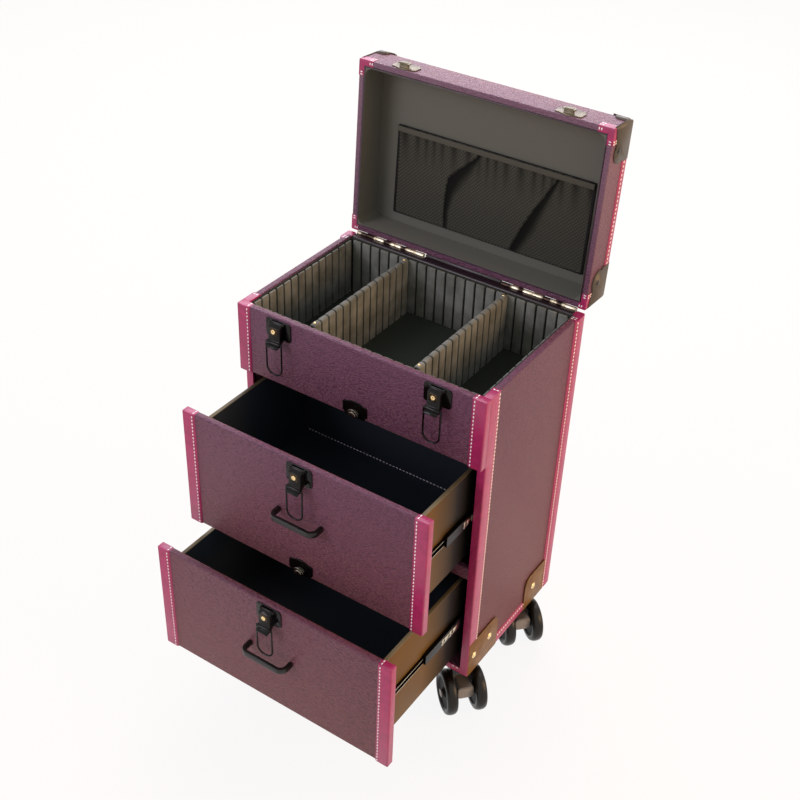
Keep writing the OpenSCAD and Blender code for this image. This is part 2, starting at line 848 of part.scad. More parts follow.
// Hinge knuckles: every second one, starting with first
module knuckle_row(first) {
  pitch = hinge_len / knuckles;
  gap = 0.3;
  for (i = [first : 2 : knuckles - 1])
    translate([(i + 0.5) * pitch - hinge_len / 2, 0, 0]) rod_x(barrel_r, pitch - gap);
}

module hinge_lower_leaves() {
  color(steel) for (x = [-hinge_x, hinge_x]) translate([x, hinge_y, hinge_z]) difference() {
    union() {
      knuckle_row(0);
      intersection() {
        translate([-hinge_len / 2, back_y - hinge_y, -leaf_h]) cube([hinge_len, leaf_t, leaf_h]);
        union() {
          translate([0, 0, -leaf_h / 2 - barrel_r]) cube([hinge_len, 4 * barrel_r, leaf_h], center = true);
          knuckle_slots(0);
        }
      }
    }
    rod_x(hinge_pin_r + pin_clearance, hinge_len + 1);
  }
}

// Blocks as long as the knuckles, tall enough to reach the leaf
module knuckle_slots(first) {
  pitch = hinge_len / knuckles;
  for (i = [first : 2 : knuckles - 1])
    translate([(i + 0.5) * pitch - hinge_len / 2, 0, 0])
      cube([pitch - 0.3, 4 * barrel_r, 2 * (barrel_r + 1)], center = true);
}

module hinge_upper_leaves() {
  color(steel) lid_pose() for (x = [-hinge_x, hinge_x]) translate([x, hinge_y, hinge_z]) {
    knuckle_row(1);
    rod_x(hinge_pin_r, hinge_len);
    intersection() {
      translate([-hinge_len / 2, back_y - hinge_y, lid_gap]) cube([hinge_len, leaf_t, leaf_h]);
      union() {
        translate([0, 0, leaf_h / 2 + barrel_r + 0.5]) cube([hinge_len, 4 * barrel_r, leaf_h], center = true);
        knuckle_slots(1);
      }
    }
  }
}

// ----------------------------------------------------------- the carry handle

module handle_brackets() {
  foot_t = bracket_t / 2;
  post_r = bracket_w / 2;
  color(steel) lid_pose() both_sides() translate([carry_w / 2, 0, lid_top]) {
    linear_extrude(foot_t) round_rect([bracket_w, bracket_len], bracket_t);
    difference() {
      translate([-bracket_t / 2, 0, 0]) rotate([90, 0, 90]) linear_extrude(bracket_t)
        link_2d([0, foot_t / 2], post_r, [0, carry_pivot_z], carry_pin_r + 2.2);
      translate([0, 0, -post_r]) cube([2 * bracket_t, 3 * post_r, 2 * post_r], center = true);
      translate([0, 0, carry_pivot_z]) rod_x(carry_pin_r + pin_clearance, 2 * bracket_t);
    }
  }
}

// Grip, two rounded corners and two arms whose pins sit in the brackets
module carry_handle() {
  bend = 16;
  grip_r = grip_d / 2;
  arm_x = carry_w / 2 - 9;
  grip_y = carry_h - grip_r;
  color(black) lid_pose() translate([0, 0, lid_top + carry_pivot_z]) {
    translate([0, grip_y, 0]) rod_x(grip_r, 2 * (arm_x - bend));
    both_sides() {
      translate([arm_x - bend, grip_y - bend, 0]) rotate_extrude(angle = 90)
        translate([bend, 0]) circle(grip_r);
      translate([arm_x, 0, 0]) rotate([-90, 0, 0]) cylinder(r = grip_r, h = grip_y - bend);
      translate([arm_x, 0, 0]) sphere(grip_r);
      translate([arm_x, 0, 0]) rotate([0, 90, 0])
        cylinder(r = carry_pin_r, h = carry_w / 2 - arm_x + bracket_t);
    }
  }
}

// ----------------------------------------------------------------- casters

// Where a caster sits: name, x and y of its swivel axis
casters = [
  ["front_left", caster_inset - half_w, front_y + caster_front],
  ["front_right", half_w - caster_inset, front_y + caster_front],
  ["back_left", caster_inset - half_w, back_y - caster_back],
  ["back_right", half_w - caster_inset, back_y - caster_back]
];

module caster_plates() {
  color(steel) for (c = casters) translate([c[1], c[2], 0]) {
    translate([0, 0, plate_z]) linear_extrude(caster_plate_t)
      round_rect([caster_plate_w, caster_plate_w], 5);
    translate([0, 0, plate_z - pin_len]) cylinder(r = kingpin_r, h = pin_len);
  }
}

// Housing between the wheels, with the bore for the swivel pin and the axle
module caster_swivel() {
  boss_r = 13;
  boss_h = 12;
  hub_r = 9;
  neck_y = 2;
  neck_r = 11;
  neck_z = swivel_top - boss_h - 1.6;
  head_r = 6;
  nose_len = trail - neck_y;
  difference() {
    union() {
      along_x(housing_w)
        link_2d([trail, wheel_r], hub_r, [neck_y, neck_z], neck_r, 0.05);
      translate([0, nose_len - nose_out, nose_z]) rotate([90, 0, 0]) linear_extrude(nose_len)
        round_rect([housing_w - 1.4, nose_h], 5);
      translate([0, 0, swivel_top - boss_h]) cylinder(r = boss_r, h = boss_h);
    }
    translate([0, 0, plate_z - pin_len - 1])
      cylinder(r = kingpin_r + pin_clearance, h = 2 * pin_len);
  }
  translate([0, -trail, wheel_r]) {
    rod_x(axle_r, wheel_span + 1);
    both_sides() translate([wheel_span / 2 + 1, 0, 0]) rod_x(head_r, 1.4);
  }
}

// One wheel: tread with rounded shoulders, recessed web and hub
module caster_wheel() {
  shoulder = wheel_t / 3;
  bore = axle_r + pin_clearance;
  rim_r = wheel_r - 8;
  hub_r = axle_r + 5;
  dish = 2.5;
  rotate([0, 90, 0]) rotate_extrude($fn = 64) difference() {
    union() {
      translate([bore, 0]) square([wheel_r - shoulder - bore, wheel_t]);
      translate([bore, shoulder]) square([wheel_r - bore, wheel_t - 2 * shoulder]);
      for (t = [shoulder, wheel_t - shoulder]) translate([wheel_r - shoulder, t]) circle(shoulder);
    }
    translate([hub_r, wheel_t - dish]) square([rim_r - hub_r, dish + 1]);
    translate([hub_r, -1]) square([rim_r - hub_r, dish + 1 - 0.5]);
  }
}

module caster_wheels() {
  both_sides() translate([wheel_span / 2 - wheel_t, -trail, wheel_r]) caster_wheel();
}

module at_caster(c) {
  translate([c[1], c[2], 0]) rotate([0, 0, caster_turn]) children();
}

// ------------------------------------------------------------------- parts

side_panel(-1);  // left_side_panel
side_panel(1);  // right_side_panel
back_panel();
apron();
compartment_floor();
drawer_rail();
bottom_panel();
case_bindings();
compartment_lining();
dividers();
divider_studs();
corner_patches();
apron_latch_plates();
hinge_lower_leaves();
slide_outer_members();
caster_plates();
lid_shell();
lid_bindings();
lid_lining();
mesh_pocket();
lid_keepers();
lid_corners();
hinge_upper_leaves();
handle_brackets();
carry_handle();

// Drawers: name, bottom edge, height and how far each stands open
drawers = [
  ["drawer_1", drawer_1_z, drawer_1_h, extension_1],
  ["drawer_2", drawer_2_z, drawer_2_h, extension_2]
];

for (d = drawers) {
  drawer_front(d[1], d[2], d[3]);
  drawer_box(d[1], d[2], d[3]);
  drawer_bindings(d[1], d[2], d[3]);
  drawer_handle(d[1], d[2], d[3]);
  inner_slides(d[1], d[3]);
  middle_slides(d[1], d[3]);
  color(black) on_front(0, d[1] + d[2], d[3]) latch_base();
}
color(black) on_front(0, drawer_1_z, extension_1) keeper(reveal, true);  // drawer_1_keeper

for (l = latches) {
  color(black) on_front(l[1], l[2], l[3]) latch_lever();
  color(brass) on_front(l[1], l[2], l[3]) latch_lock();
  color(black) on_front(l[1], l[2], l[3]) latch_bail();
}

for (c = casters) {
  color(black) at_caster(c) caster_swivel();
  color(black) at_caster(c) caster_wheels();
}
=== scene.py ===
"""Makeup train case: leather-covered boards on casters, with two drawers and a hinged lid."""

import json
from math import copysign, hypot, pi, radians, sin, tan

import bmesh
import bpy
from mathutils import Matrix, Vector


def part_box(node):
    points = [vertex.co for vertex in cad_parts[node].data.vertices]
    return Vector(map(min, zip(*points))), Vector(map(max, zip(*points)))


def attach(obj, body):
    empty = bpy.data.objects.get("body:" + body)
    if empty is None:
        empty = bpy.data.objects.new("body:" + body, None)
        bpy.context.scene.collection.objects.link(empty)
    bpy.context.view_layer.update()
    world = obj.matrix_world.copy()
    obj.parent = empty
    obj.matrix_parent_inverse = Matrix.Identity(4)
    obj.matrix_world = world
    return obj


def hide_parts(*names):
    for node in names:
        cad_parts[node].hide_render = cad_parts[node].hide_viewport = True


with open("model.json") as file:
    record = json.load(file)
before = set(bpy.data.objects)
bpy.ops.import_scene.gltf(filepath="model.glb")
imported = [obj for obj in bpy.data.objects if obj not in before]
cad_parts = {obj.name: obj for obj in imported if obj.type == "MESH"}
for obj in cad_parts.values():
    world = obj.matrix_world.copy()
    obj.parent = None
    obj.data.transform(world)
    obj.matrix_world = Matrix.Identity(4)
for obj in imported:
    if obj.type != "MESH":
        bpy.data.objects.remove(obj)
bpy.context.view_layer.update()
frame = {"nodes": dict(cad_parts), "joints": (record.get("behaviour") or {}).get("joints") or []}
mm = 0.001


# --------------------------------------------------------------- studio
# A pale paper sweep under soft lamps. The floor is white to the eye and to
# reflections, and still takes the case's soft shadow.

def linear(hex_colour):
    """Linear RGBA of an sRGB hex colour."""
    parts = [int(hex_colour[i:i + 2], 16) / 255 for i in (1, 3, 5)]
    return [c / 12.92 if c <= 0.04045 else ((c + 0.055) / 1.055) ** 2.4 for c in parts] + [1]


def wire(node, inputs):
    """Fills a node's inputs; a node stands for its first live output, a string for a colour."""
    for name, value in inputs.items():
        socket = node.inputs[name] if isinstance(name, int) else next(
            s for s in node.inputs if s.enabled and s.name == name)
        if isinstance(value, str):
            value = linear(value)
        elif isinstance(value, bpy.types.Node):
            value = next(s for s in value.outputs if s.enabled)
        if isinstance(value, bpy.types.NodeSocket):
            node.id_data.links.new(value, socket)
        else:
            socket.default_value = value


def add_node(tree, kind, inputs=None, **settings):
    """Adds a shader node, sets its properties and fills its inputs."""
    made = tree.nodes.new("ShaderNode" + kind)
    for name, value in settings.items():
        setattr(made, name, value)
    wire(made, inputs or {})
    return made


def background_rays(tree):
    """1 for the rays that look at the background: from the eye, off gloss or through glass."""
    rays = add_node(tree, "LightPath").outputs
    seen = add_node(tree, "Math", {0: rays["Is Camera Ray"], 1: rays["Is Glossy Ray"]},
                    operation="MAXIMUM")
    return add_node(tree, "Math", {0: seen, 1: rays["Is Transmission Ray"]}, operation="MAXIMUM")


floor_reach = 40
floor_shell = bmesh.new()
bmesh.ops.create_grid(floor_shell, x_segments=1, y_segments=1, size=floor_reach)
floor_mesh = bpy.data.meshes.new("studio_floor")
floor_shell.to_mesh(floor_mesh)
floor_shell.free()
floor = bpy.data.objects.new("studio_floor", floor_mesh)
bpy.context.scene.collection.objects.link(floor)

# Matt paper: a diffuse white that goes to pure white where no shadow falls
paper = bpy.data.materials.new("matt_white_paper")
paper.use_nodes = True
tree = paper.node_tree
tree.nodes.clear()
glow_share = 0.9  # the rest takes the shadow
share = add_node(tree, "Math", {0: background_rays(tree), 1: glow_share}, operation="MULTIPLY")
diffuse = add_node(tree, "BsdfDiffuse", {"Color": "#f2e2cf"})
glow = add_node(tree, "Emission", {"Color": "#ffffff", "Strength": 1.0})
mixed = add_node(tree, "MixShader", {0: share, 1: diffuse, 2: glow})
add_node(tree, "OutputMaterial", {"Surface": mixed})
floor_mesh.materials.append(paper)

world = bpy.data.worlds.new("studio_world")
bpy.context.scene.world = world
world.use_nodes = True
tree = world.node_tree
tree.nodes.clear()
ambient = add_node(tree, "Background", {"Color": "#fbf4f4", "Strength": 0.4})
backdrop = add_node(tree, "Background", {"Color": "#ffffff", "Strength": 1.0})
mixed = add_node(tree, "MixShader", {0: background_rays(tree), 1: ambient, 2: backdrop})
add_node(tree, "OutputWorld", {"Surface": mixed})

# Soft lamps: name, place, what it points at, side, watts, colour
lamps = [
    ("right_softbox", (2.3, 0.5, 1.3), (0.0, 0.0, 0.3), 1.3, 34, "#ffc588"),
    ("back_softbox", (-0.9, 1.7, 2.3), (0.0, 0.0, 0.4), 2.8, 88, "#f8f2ff"),
    ("front_softbox", (-1.3, -2.2, 1.7), (0.0, 0.0, 0.35), 1.3, 27, "#f8ecfb"),
]
for name, place, aim, side, watts, tint in lamps:
    lamp = bpy.data.lights.new(name, "AREA")
    lamp.size = side
    lamp.energy = watts
    lamp.color = linear(tint)[:3]
    stand = bpy.data.objects.new(name, lamp)
    stand.location = place
    heading = Vector(aim) - Vector(place)
    stand.rotation_mode = "QUATERNION"
    stand.rotation_quaternion = heading.to_track_quat("-Z", "Y")
    bpy.context.scene.collection.objects.link(stand)

lens = bpy.data.cameras.new("camera")
lens.lens = 56.11
lens.sensor_width = 36
lens.clip_start = 0.05
camera_place = (0.6718, -1.0651, 1.2730)
camera_yaw = radians(32.65)
camera_pitch = radians(35.64)
camera_roll = radians(2.27)
camera = bpy.data.objects.new("camera", lens)
camera.matrix_world = (
    Matrix.Translation(camera_place)
    @ Matrix.Rotation(camera_yaw, 4, "Z")
    @ Matrix.Rotation(pi / 2 - camera_pitch, 4, "X")
    @ Matrix.Rotation(camera_roll, 4, "Z")
)
bpy.context.scene.collection.objects.link(camera)
bpy.context.scene.camera = camera
bpy.context.scene.view_settings.view_transform = "Standard"


# --------------------------------------------------------------- boards
# Plywood boards, each covered in pebbled PVC leather that is pulled round
# its edges and glued, then screwed and glued together into the case.

def new_material(name, colour, roughness, **sockets):
    """A material with one Principled shader, and its tree, shader and object coordinates."""
    material = bpy.data.materials.new(name)
    material.use_nodes = True
    tree = material.node_tree
    shader = tree.nodes["Principled BSDF"]
    wire(shader, {"Base Color": colour, "Roughness": roughness,
                  **{socket.replace("_", " "): value for socket, value in sockets.items()}})
    return material, tree, shader, add_node(tree, "TexCoord").outputs["Object"]


# Pebbled PVC leather: rounded pebbles in wavy, level rows, with painted shade where they meet.
# They are drawn at 1.8 mm, somewhat over the real grain, so that they show
pebble = 1.8 * mm
pebble_height = 1.0 * mm
plum = "#6e3f5a"
leather_roughness = 0.42
eggplant_leather, tree, shader, coords = new_material(
    "pebbled_pvc_leather", plum, leather_roughness, Specular_IOR_Level=0.34, Sheen_Weight=0.3,
    Sheen_Roughness=0.4, Sheen_Tint=linear("#e09a5c"))
# The pebbles are stretched level, and a slow warp makes their rows wander
stretched = add_node(tree, "Mapping", {"Vector": coords, "Scale": (0.45, 1.0, 1.5)})
warp = add_node(tree, "TexNoise", {"Vector": stretched, "Scale": 0.35 / pebble, "Detail": 2.0})
push = add_node(tree, "VectorMath", {0: warp.outputs["Color"], 1: (pebble, pebble, pebble)},
                operation="MULTIPLY")
warped = add_node(tree, "VectorMath", {0: stretched, 1: push}, operation="ADD")
cells = add_node(tree, "TexVoronoi", {"Vector": warped, "Scale": 1 / pebble, "Smoothness": 0.35},
                 feature="SMOOTH_F1")
pores = add_node(tree, "TexNoise", {"Vector": stretched, "Scale": 2.2 / pebble, "Detail": 3.0})
domes = add_node(tree, "Math", {0: cells, 1: -1.0, 2: 1.0}, operation="MULTIPLY_ADD")
grain = add_node(tree, "Math", {0: pores, 1: 0.35, 2: domes}, operation="MULTIPLY_ADD")
bump = add_node(tree, "Bump", {"Height": grain, "Strength": 1.0, "Distance": pebble_height})
# Painted light and shade: pebble tops are painted paler as highlights, the creases darker as shade
pebble_light = add_node(tree, "MapRange", {"Value": grain, "From Min": 0.45, "From Max": 1.15})
toned = add_node(tree, "Mix", {0: pebble_light, "A": "#573149", "B": "#80506d"}, data_type="RGBA")
clouds = add_node(tree, "TexNoise", {"Vector": coords, "Scale": 9.0, "Detail": 3.0})
veil = add_node(tree, "MapRange", {"Value": clouds, "From Min": 0.35, "From Max": 0.7,
                                   "To Max": 0.2})
shaded = add_node(tree, "Mix", {0: veil, "A": toned, "B": plum}, data_type="RGBA")
# Painted warm light bounced from the floor: the colour runs from a cool plum at the top to a
# browner one at the foot
level = add_node(tree, "SeparateXYZ", {0: coords}).outputs["Z"]
rise = add_node(tree, "MapRange", {"Value": level, "From Min": 0.15, "From Max": 0.5})
painted_floor_bounce = add_node(tree, "Mix", {0: rise, "A": "#fff8e0", "B": "#f8f8ff"}, data_type="RGBA")
with_floor_bounce = add_node(tree, "Mix", {0: 1.0, "A": shaded, "B": painted_floor_bounce}, data_type="RGBA",
                blend_type="MULTIPLY")
# and painted light pales it again high up, over the standing lid
lid_light_mask = add_node(tree, "MapRange", {"Value": level, "From Min": 0.5, "From Max": 0.68,
                                    "To Max": 0.3})
with_lid_light = add_node(tree, "Mix", {0: lid_light_mask, "A": with_floor_bounce, "B": "#a58a9c"}, data_type="RGBA")
gloss = add_node(tree, "MapRange", {"Value": pores, "To Min": leather_roughness - 0.07,
                                    "To Max": leather_roughness + 0.1})
wire(shader, {"Base Color": with_lid_light, "Roughness": gloss, "Normal": bump})


def make_piece(bm, name, materials, body, replaced=(), crease=35):
    """Turns a bmesh into a smooth-shaded piece that rides on a body and stands for CAD nodes."""
    mesh = bpy.data.meshes.new(name)
    bm.to_mesh(mesh)
    bm.free()
    mesh.shade_smooth()
    mesh.set_sharp_from_angle(angle=radians(crease))
    for material in materials:
        mesh.materials.append(material)
    piece = bpy.data.objects.new(name, mesh)
    bpy.context.scene.collection.objects.link(piece)
    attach(piece, body)
    if replaced:
        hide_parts(*replaced)
    return piece


def round_edges(bm, edges, radius, segments=2):
    """Rounds edges of a bmesh."""
    bmesh.ops.bevel(bm, geom=list(edges), offset=radius, offset_type="OFFSET", segments=segments,
                    profile=0.5, affect="EDGES", clamp_overlap=False, material=-1)


def eased_copy(node, radius, segments=2):
    """A node's surface as one mesh whose hard edges are rounded."""
    crease = radians(30)
    bm = bmesh.new()
    bm.from_mesh(frame["nodes"][node].data)
    bmesh.ops.remove_doubles(bm, verts=bm.verts, dist=0.005 * mm)
    bmesh.ops.dissolve_limit(bm, angle_limit=radians(1), verts=bm.verts, edges=bm.edges)
    if radius:
        hard = [e for e in bm.edges if e.is_manifold and e.calc_face_angle(0) > crease]
        round_edges(bm, hard, radius, segments)
    return bm


def dress(node, name, material, body, radius=0, segments=2):
    """Puts a piece of the node's own shape, with its edges rounded, in the node's place."""
    make_piece(eased_copy(node, radius, segments), name, [material], body, [node])


board_edge = 2 * mm
for board in ("left_side_panel", "right_side_panel", "apron", "compartment_floor", "drawer_rail",
              "bottom_panel"):
    dress(board, "covered_" + board, eggplant_leather, "case", board_edge, 3)

inner_x, _, case_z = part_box("right_side_panel")[0]
half_w, back_y, rim_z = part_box("right_side_panel")[1]
_, front_y, apron_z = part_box("apron")[0]
panel_t = half_w - inner_x
edge_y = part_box("drawer_rail")[0].y


# ------------------------------------------------------------- bindings
# Bands of smooth magenta PVC leather folded round the ends of the boards,
# padded underneath, turned in at their edges and sewn with pale thread.

def grained_leather(name, colour, shade, roughness, grain, depth, **sockets):
    """Smooth PVC leather with a fine grain and a slow change of tone."""
    material, tree, shader, coords = new_material(name, colour, roughness, Coat_Weight=0.12,
                                                  Coat_Roughness=0.25, **sockets)
    cells = add_node(tree, "TexVoronoi", {"Vector": coords, "Scale": 1 / grain, "Smoothness": 0.5},
                     feature="SMOOTH_F1")
    ripple = add_node(tree, "TexNoise", {"Vector": coords, "Scale": 0.12 / grain, "Detail": 3.0})
    height = add_node(tree, "Math", {0: ripple, 1: 1.6, 2: cells}, operation="MULTIPLY_ADD")
    bump = add_node(tree, "Bump", {"Height": height, "Strength": 0.5, "Distance": depth})
    tone = add_node(tree, "MapRange", {"Value": ripple, "From Min": 0.3, "From Max": 0.7})
    toned = add_node(tree, "Mix", {0: tone, "A": shade, "B": colour}, data_type="RGBA")
    wire(shader, {"Base Color": toned, "Normal": bump})
    return material


def textured(name, colour, roughness, kind, size, relief=None, gloss=None, marks=None,
             stretch=None, bands=None, **sockets):
    """A material of one texture, whose marks are a real size wide, or its waves that far apart.

    relief is its bump's strength and depth, gloss its least and most roughness, marks more of
    the texture's inputs, stretch the scale of its axes, and bands a wave's direction.
    """
    waves = pi / 10  # how far apart waves lie at a scale of 1
    material, tree, shader, place = new_material(name, colour, roughness, **sockets)
    if stretch:
        place = add_node(tree, "Mapping", {"Vector": place, "Scale": stretch})
    settings = {"bands_direction": bands} if bands else {}
    scale = (waves if bands else 1) / size
    texture = add_node(tree, kind, {"Vector": place, "Scale": scale, **(marks or {})}, **settings)
    if relief:
        strength, depth = relief
        bump = add_node(tree, "Bump", {"Height": texture, "Strength": strength, "Distance": depth})
        wire(shader, {"Normal": bump})
    if gloss:
        spread = add_node(tree, "MapRange", {"Value": texture, "To Min": gloss[0],
                                             "To Max": gloss[1]})
        wire(shader, {"Roughness": spread})
    return material


# Smooth PVC leather: bright and even, with a low shine and a faint, soft grain
magenta_leather = grained_leather("smooth_magenta_pvc_leather", "#b52c6a", "#a0245c", 0.36,
                                  1.0 * mm, 0.12 * mm)

# Waxed polyester thread: white, with the small ridges of its twist
sewing_thread = textured("waxed_polyester_thread", "#ffffff", 0.55, "TexWave", 0.35 * mm,
                         relief=(0.3, 0.1 * mm), marks={"Distortion": 1.0}, bands="DIAGONAL")

band_t = 1.5 * mm      # how far a band stands proud of its board
band_lip = 0.35 * mm   # what is left of that at its turned edge
band_slope = 3 * mm    # from the turned edge up to the seam
band_round = 1.6 * mm
top_round = 0.7 * mm
front_band_w = 17 * mm
side_band_w = 21 * mm
bottom_band_w = 15 * mm
cap_t = 0.1 * mm       # a band folded over the top of its board
turn_in = 0.06 * mm    # a sleeve folded over the back of its board
seam_in = 0.6 * mm     # from the slope to the stitches
seam_end = 1 * mm      # from the stitches to the end of the band
stitch_pitch = 5.2 * mm
stitch_size = (3.9 * mm, 1.9 * mm, 1.1 * mm)
stitch_lean = 0.12     # across the seam, as in a lockstitch
side_thread = 1.5      # the seams on the sides take a heavier thread
pulled_in = 0.36 * mm  # a stitch's height where another part closes on the seam
tiny = 1e-6


def prism(bm, outline, axis, low, high):
    """Adds an outline in the plane across the Y or Z axis, extruded along it."""
    place = {"Y": lambda a, b, c: (a, c, b), "Z": lambda a, b, c: (a, b, c)}[axis]
    base = bm.faces.new([bm.verts.new(place(a, b, low)) for a, b in outline])
    made = bmesh.ops.extrude_face_region(bm, geom=[base])["geom"]
    raised = [g for g in made if isinstance(g, bmesh.types.BMVert)]
    bmesh.ops.translate(bm, vec=place(0, 0, high - low), verts=raised)
    faces = {base} | {f for v in raised for f in v.link_faces}
    bmesh.ops.recalc_face_normals(bm, faces=list(faces))


def round_where(bm, test, radius, segments=2):
    """Rounds the edges whose two ends pass a test."""
    round_edges(bm, [e for e in bm.edges if all(test(v.co) for v in e.verts)], radius, segments)


def add_mirrored(bm):
    """Adds the mirror image in X of all that the bmesh holds."""
    made = bmesh.ops.duplicate(bm, geom=bm.verts[:] + bm.edges[:] + bm.faces[:])["geom"]
    bmesh.ops.scale(bm, vec=(-1, 1, 1),
                    verts=[g for g in made if isinstance(g, bmesh.types.BMVert)])
    bmesh.ops.reverse_faces(bm, faces=[g for g in made if isinstance(g, bmesh.types.BMFace)])


def pour(own, bm):
    """Moves all that one bmesh holds into another."""
    spare = bpy.data.meshes.new("spare")
    own.to_mesh(spare)
    own.free()
    bm.from_mesh(spare)
    bpy.data.meshes.remove(spare)


def add_block(bm, corner, opposite, radius=0):
    """Adds a box between two opposite corners, with rounded edges."""
    own = bmesh.new()
    bmesh.ops.create_cube(own, size=1)
    bmesh.ops.scale(own, vec=[abs(b - a) for a, b in zip(corner, opposite)], verts=own.verts)
    bmesh.ops.translate(own, vec=(Vector(corner) + Vector(opposite)) / 2, verts=own.verts)
    if radius:
        round_edges(own, own.edges[:], radius)
    pour(own, bm)


def stitch_rows(bm, start, end, out, pulled=False, sides=(1, -1)):
    """Adds beads of thread from start to end on a face that points out, and their mirror row."""
    for side in sides:
        first, last, up = (Vector(v) * Vector((side, 1, 1)) for v in (start, end, out))
        run = last - first
        count = max(1, round(run.length / stitch_pitch))
        size = Vector(stitch_size)
        if abs(up.x) > 0.5:
            size.y *= side_thread
        if pulled or abs(up.z) > 0.5:
            size.z = pulled_in
        along = run.normalized()
        along = (along + stitch_lean * along.cross(up)).normalized()
        turn = Matrix((along, up.cross(along), up)).transposed().to_4x4()
        shape = turn @ Matrix.Diagonal((*size, 1))
        for i in range(count):
            place = Matrix.Translation(first + run * (i + 0.5) / count)
            bmesh.ops.create_icosphere(bm, subdivisions=1, radius=0.5, matrix=place @ shape)


def front_sleeve(bm, thread, shift, low, high):
    """The sleeves of a front or of the apron, drawn on the right, with their seams."""
    inner = half_w - front_band_w
    outer = half_w + band_t
    face = front_y - band_t + shift
    back = front_y + panel_t + shift + turn_in
    top = high + cap_t
    own = bmesh.new()
    prism(own, [(inner, back - 1 * mm), (inner, front_y + shift - band_lip),
                (inner + band_slope, face), (outer, face), (outer, back), (inner + 2 * mm, back)],
          "Z", low, top)
    round_where(own, lambda p: p.x > outer - tiny and p.y < face + tiny, band_round, 4)
    round_where(own, lambda p: p.z > top - tiny or p.z < low + tiny, top_round)
    add_mirrored(own)
    pour(own, bm)
    seam = inner + band_slope + seam_in
    stitch_rows(thread, (seam, face, low + seam_end), (seam, face, high - seam_end), (0, -1, 0))
    stitch_rows(thread, (seam, face + 1.5 * mm, top), (seam, back, top), (0, 0, 1))


case_bands = bmesh.new()
case_thread = bmesh.new()
front_sleeve(case_bands, case_thread, 0, apron_z, rim_z)

# The side panels' front edges, drawn on the right, below the apron and then behind it
outer = half_w + band_t
lip_x = half_w + band_lip
core_x = half_w - 4 * mm
far_y = edge_y + side_band_w
lower_top = apron_z - 1 * mm
cap_z = rim_z + cap_t
lower = bmesh.new()
prism(lower, [(inner_x, edge_y + 6 * mm), (inner_x, edge_y), (outer, edge_y),
              (outer, far_y - band_slope), (lip_x, far_y), (core_x, far_y),
              (core_x, edge_y + 6 * mm)], "Z", case_z, lower_top)
round_where(lower, lambda p: p.x > outer - tiny and p.y < edge_y + tiny, band_round, 4)
upper = bmesh.new()
prism(upper, [(inner_x, front_y + panel_t - 1 * mm), (outer, front_y + panel_t - 1 * mm),
              (outer, far_y - band_slope), (lip_x, far_y), (inner_x, far_y)],
      "Z", lower_top, cap_z)
round_where(upper, lambda p: p.z > rim_z, top_round)
# Their back edges, which are thicker and end beside the hinges, and their bottom edges
raised_t = 2.4 * mm
raised_round = 3 * mm
back_out = half_w + raised_t
back_low_y = back_y - side_band_w
hinge_free_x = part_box("hinge_lower_leaves")[1].x + 1 * mm
prism(upper, [(core_x, back_low_y), (lip_x, back_low_y), (back_out, back_low_y + band_slope),
              (back_out, back_y + band_t), (hinge_free_x + 2 * mm, back_y + band_t),
              (hinge_free_x, back_y + band_lip), (hinge_free_x, back_y - panel_t),
              (core_x, back_y - panel_t)], "Z", case_z, cap_z)
round_where(upper, lambda p: p.x > back_out - tiny and p.y > back_y, raised_round, 4)
prism(upper, [(core_x, case_z), (outer, case_z), (outer, case_z + bottom_band_w - band_slope),
              (lip_x, case_z + bottom_band_w), (core_x, case_z + bottom_band_w)],
      "Y", far_y - band_slope, back_low_y + band_slope)
for part in (lower, upper):
    add_mirrored(part)
    pour(part, case_bands)
front_seam = far_y - band_slope - seam_in
back_seam = back_low_y + band_slope + seam_in
bottom_seam = case_z + bottom_band_w - band_slope - seam_in
seam_top = rim_z - seam_end
double_row = 3.4 * mm  # between the two rows on the back edges
for x, y in ((outer, front_seam), (back_out, back_seam)):
    stitch_rows(case_thread, (x, y, case_z), (x, y, seam_top), (1, 0, 0))
stitch_rows(case_thread, (outer, far_y, bottom_seam), (outer, back_low_y, bottom_seam), (1, 0, 0))
for y in (front_seam, back_seam, back_seam + double_row):
    stitch_rows(case_thread, (inner_x + seam_end, y, cap_z), (half_w, y, cap_z), (0, 0, 1))
# The bottom board's front edge has a strip too, folded to a triangle at each end
board_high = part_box("bottom_panel")[1].z
strip_y = edge_y - 0.03 * mm
strip_t = 1.5 * mm
fold = 15 * mm
fold_t = 0.05 * mm
fold_seam = board_high - 1.6 * mm
for side in (-1, 1):
    prism(case_bands, [(side * inner_x, board_high), (side * (inner_x - fold), board_high),
                       (side * inner_x, case_z)], "Y", strip_y - fold_t, strip_y + 0.5 * mm)
stitch_rows(case_thread, (inner_x - fold + 2 * mm, strip_y, fold_seam),
            (inner_x - seam_end, strip_y, fold_seam), (0, -1, 0), pulled=True)
add_block(case_bands, (-inner_x, strip_y, case_z),
          (inner_x, edge_y + strip_t, board_high + cap_t), 0.5 * mm)
make_piece(case_bands, "case_binding_sleeves", [magenta_leather], "case",
           ["case_bindings"])
make_piece(case_thread, "case_binding_stitches", [sewing_thread], "case")


def lay_materials(bm, pick):
    """Gives each face the material whose number pick says for its middle."""
    for face in bm.faces:
        face.material_index = int(pick(face.calc_center_median()))


# The back board's top edge and its stop rail are covered in a near-black leather, which is
# painted shade for the dark gap between lid and case, with a low shine and a fine grain
gap_shadow_leather = grained_leather("rail_leather_painted_gap_shadow", "#24161f", "#1a1016", 0.35, 1.0 * mm,
                               0.1 * mm)
back_board = eased_copy("back_panel", board_edge, 3)
lay_materials(back_board, lambda p: p.z > rim_z - board_edge or p.y > back_y + 0.1 * mm)
make_piece(back_board, "covered_back_panel", [eggplant_leather, gap_shadow_leather], "case",
           ["back_panel"])


# ------------------------------------------------------- corner patches
# Patches of thick, smooth dark brown leather, painted golden brown for the warm light they
# catch, riveted over the bottom corners with brass tubular rivets.

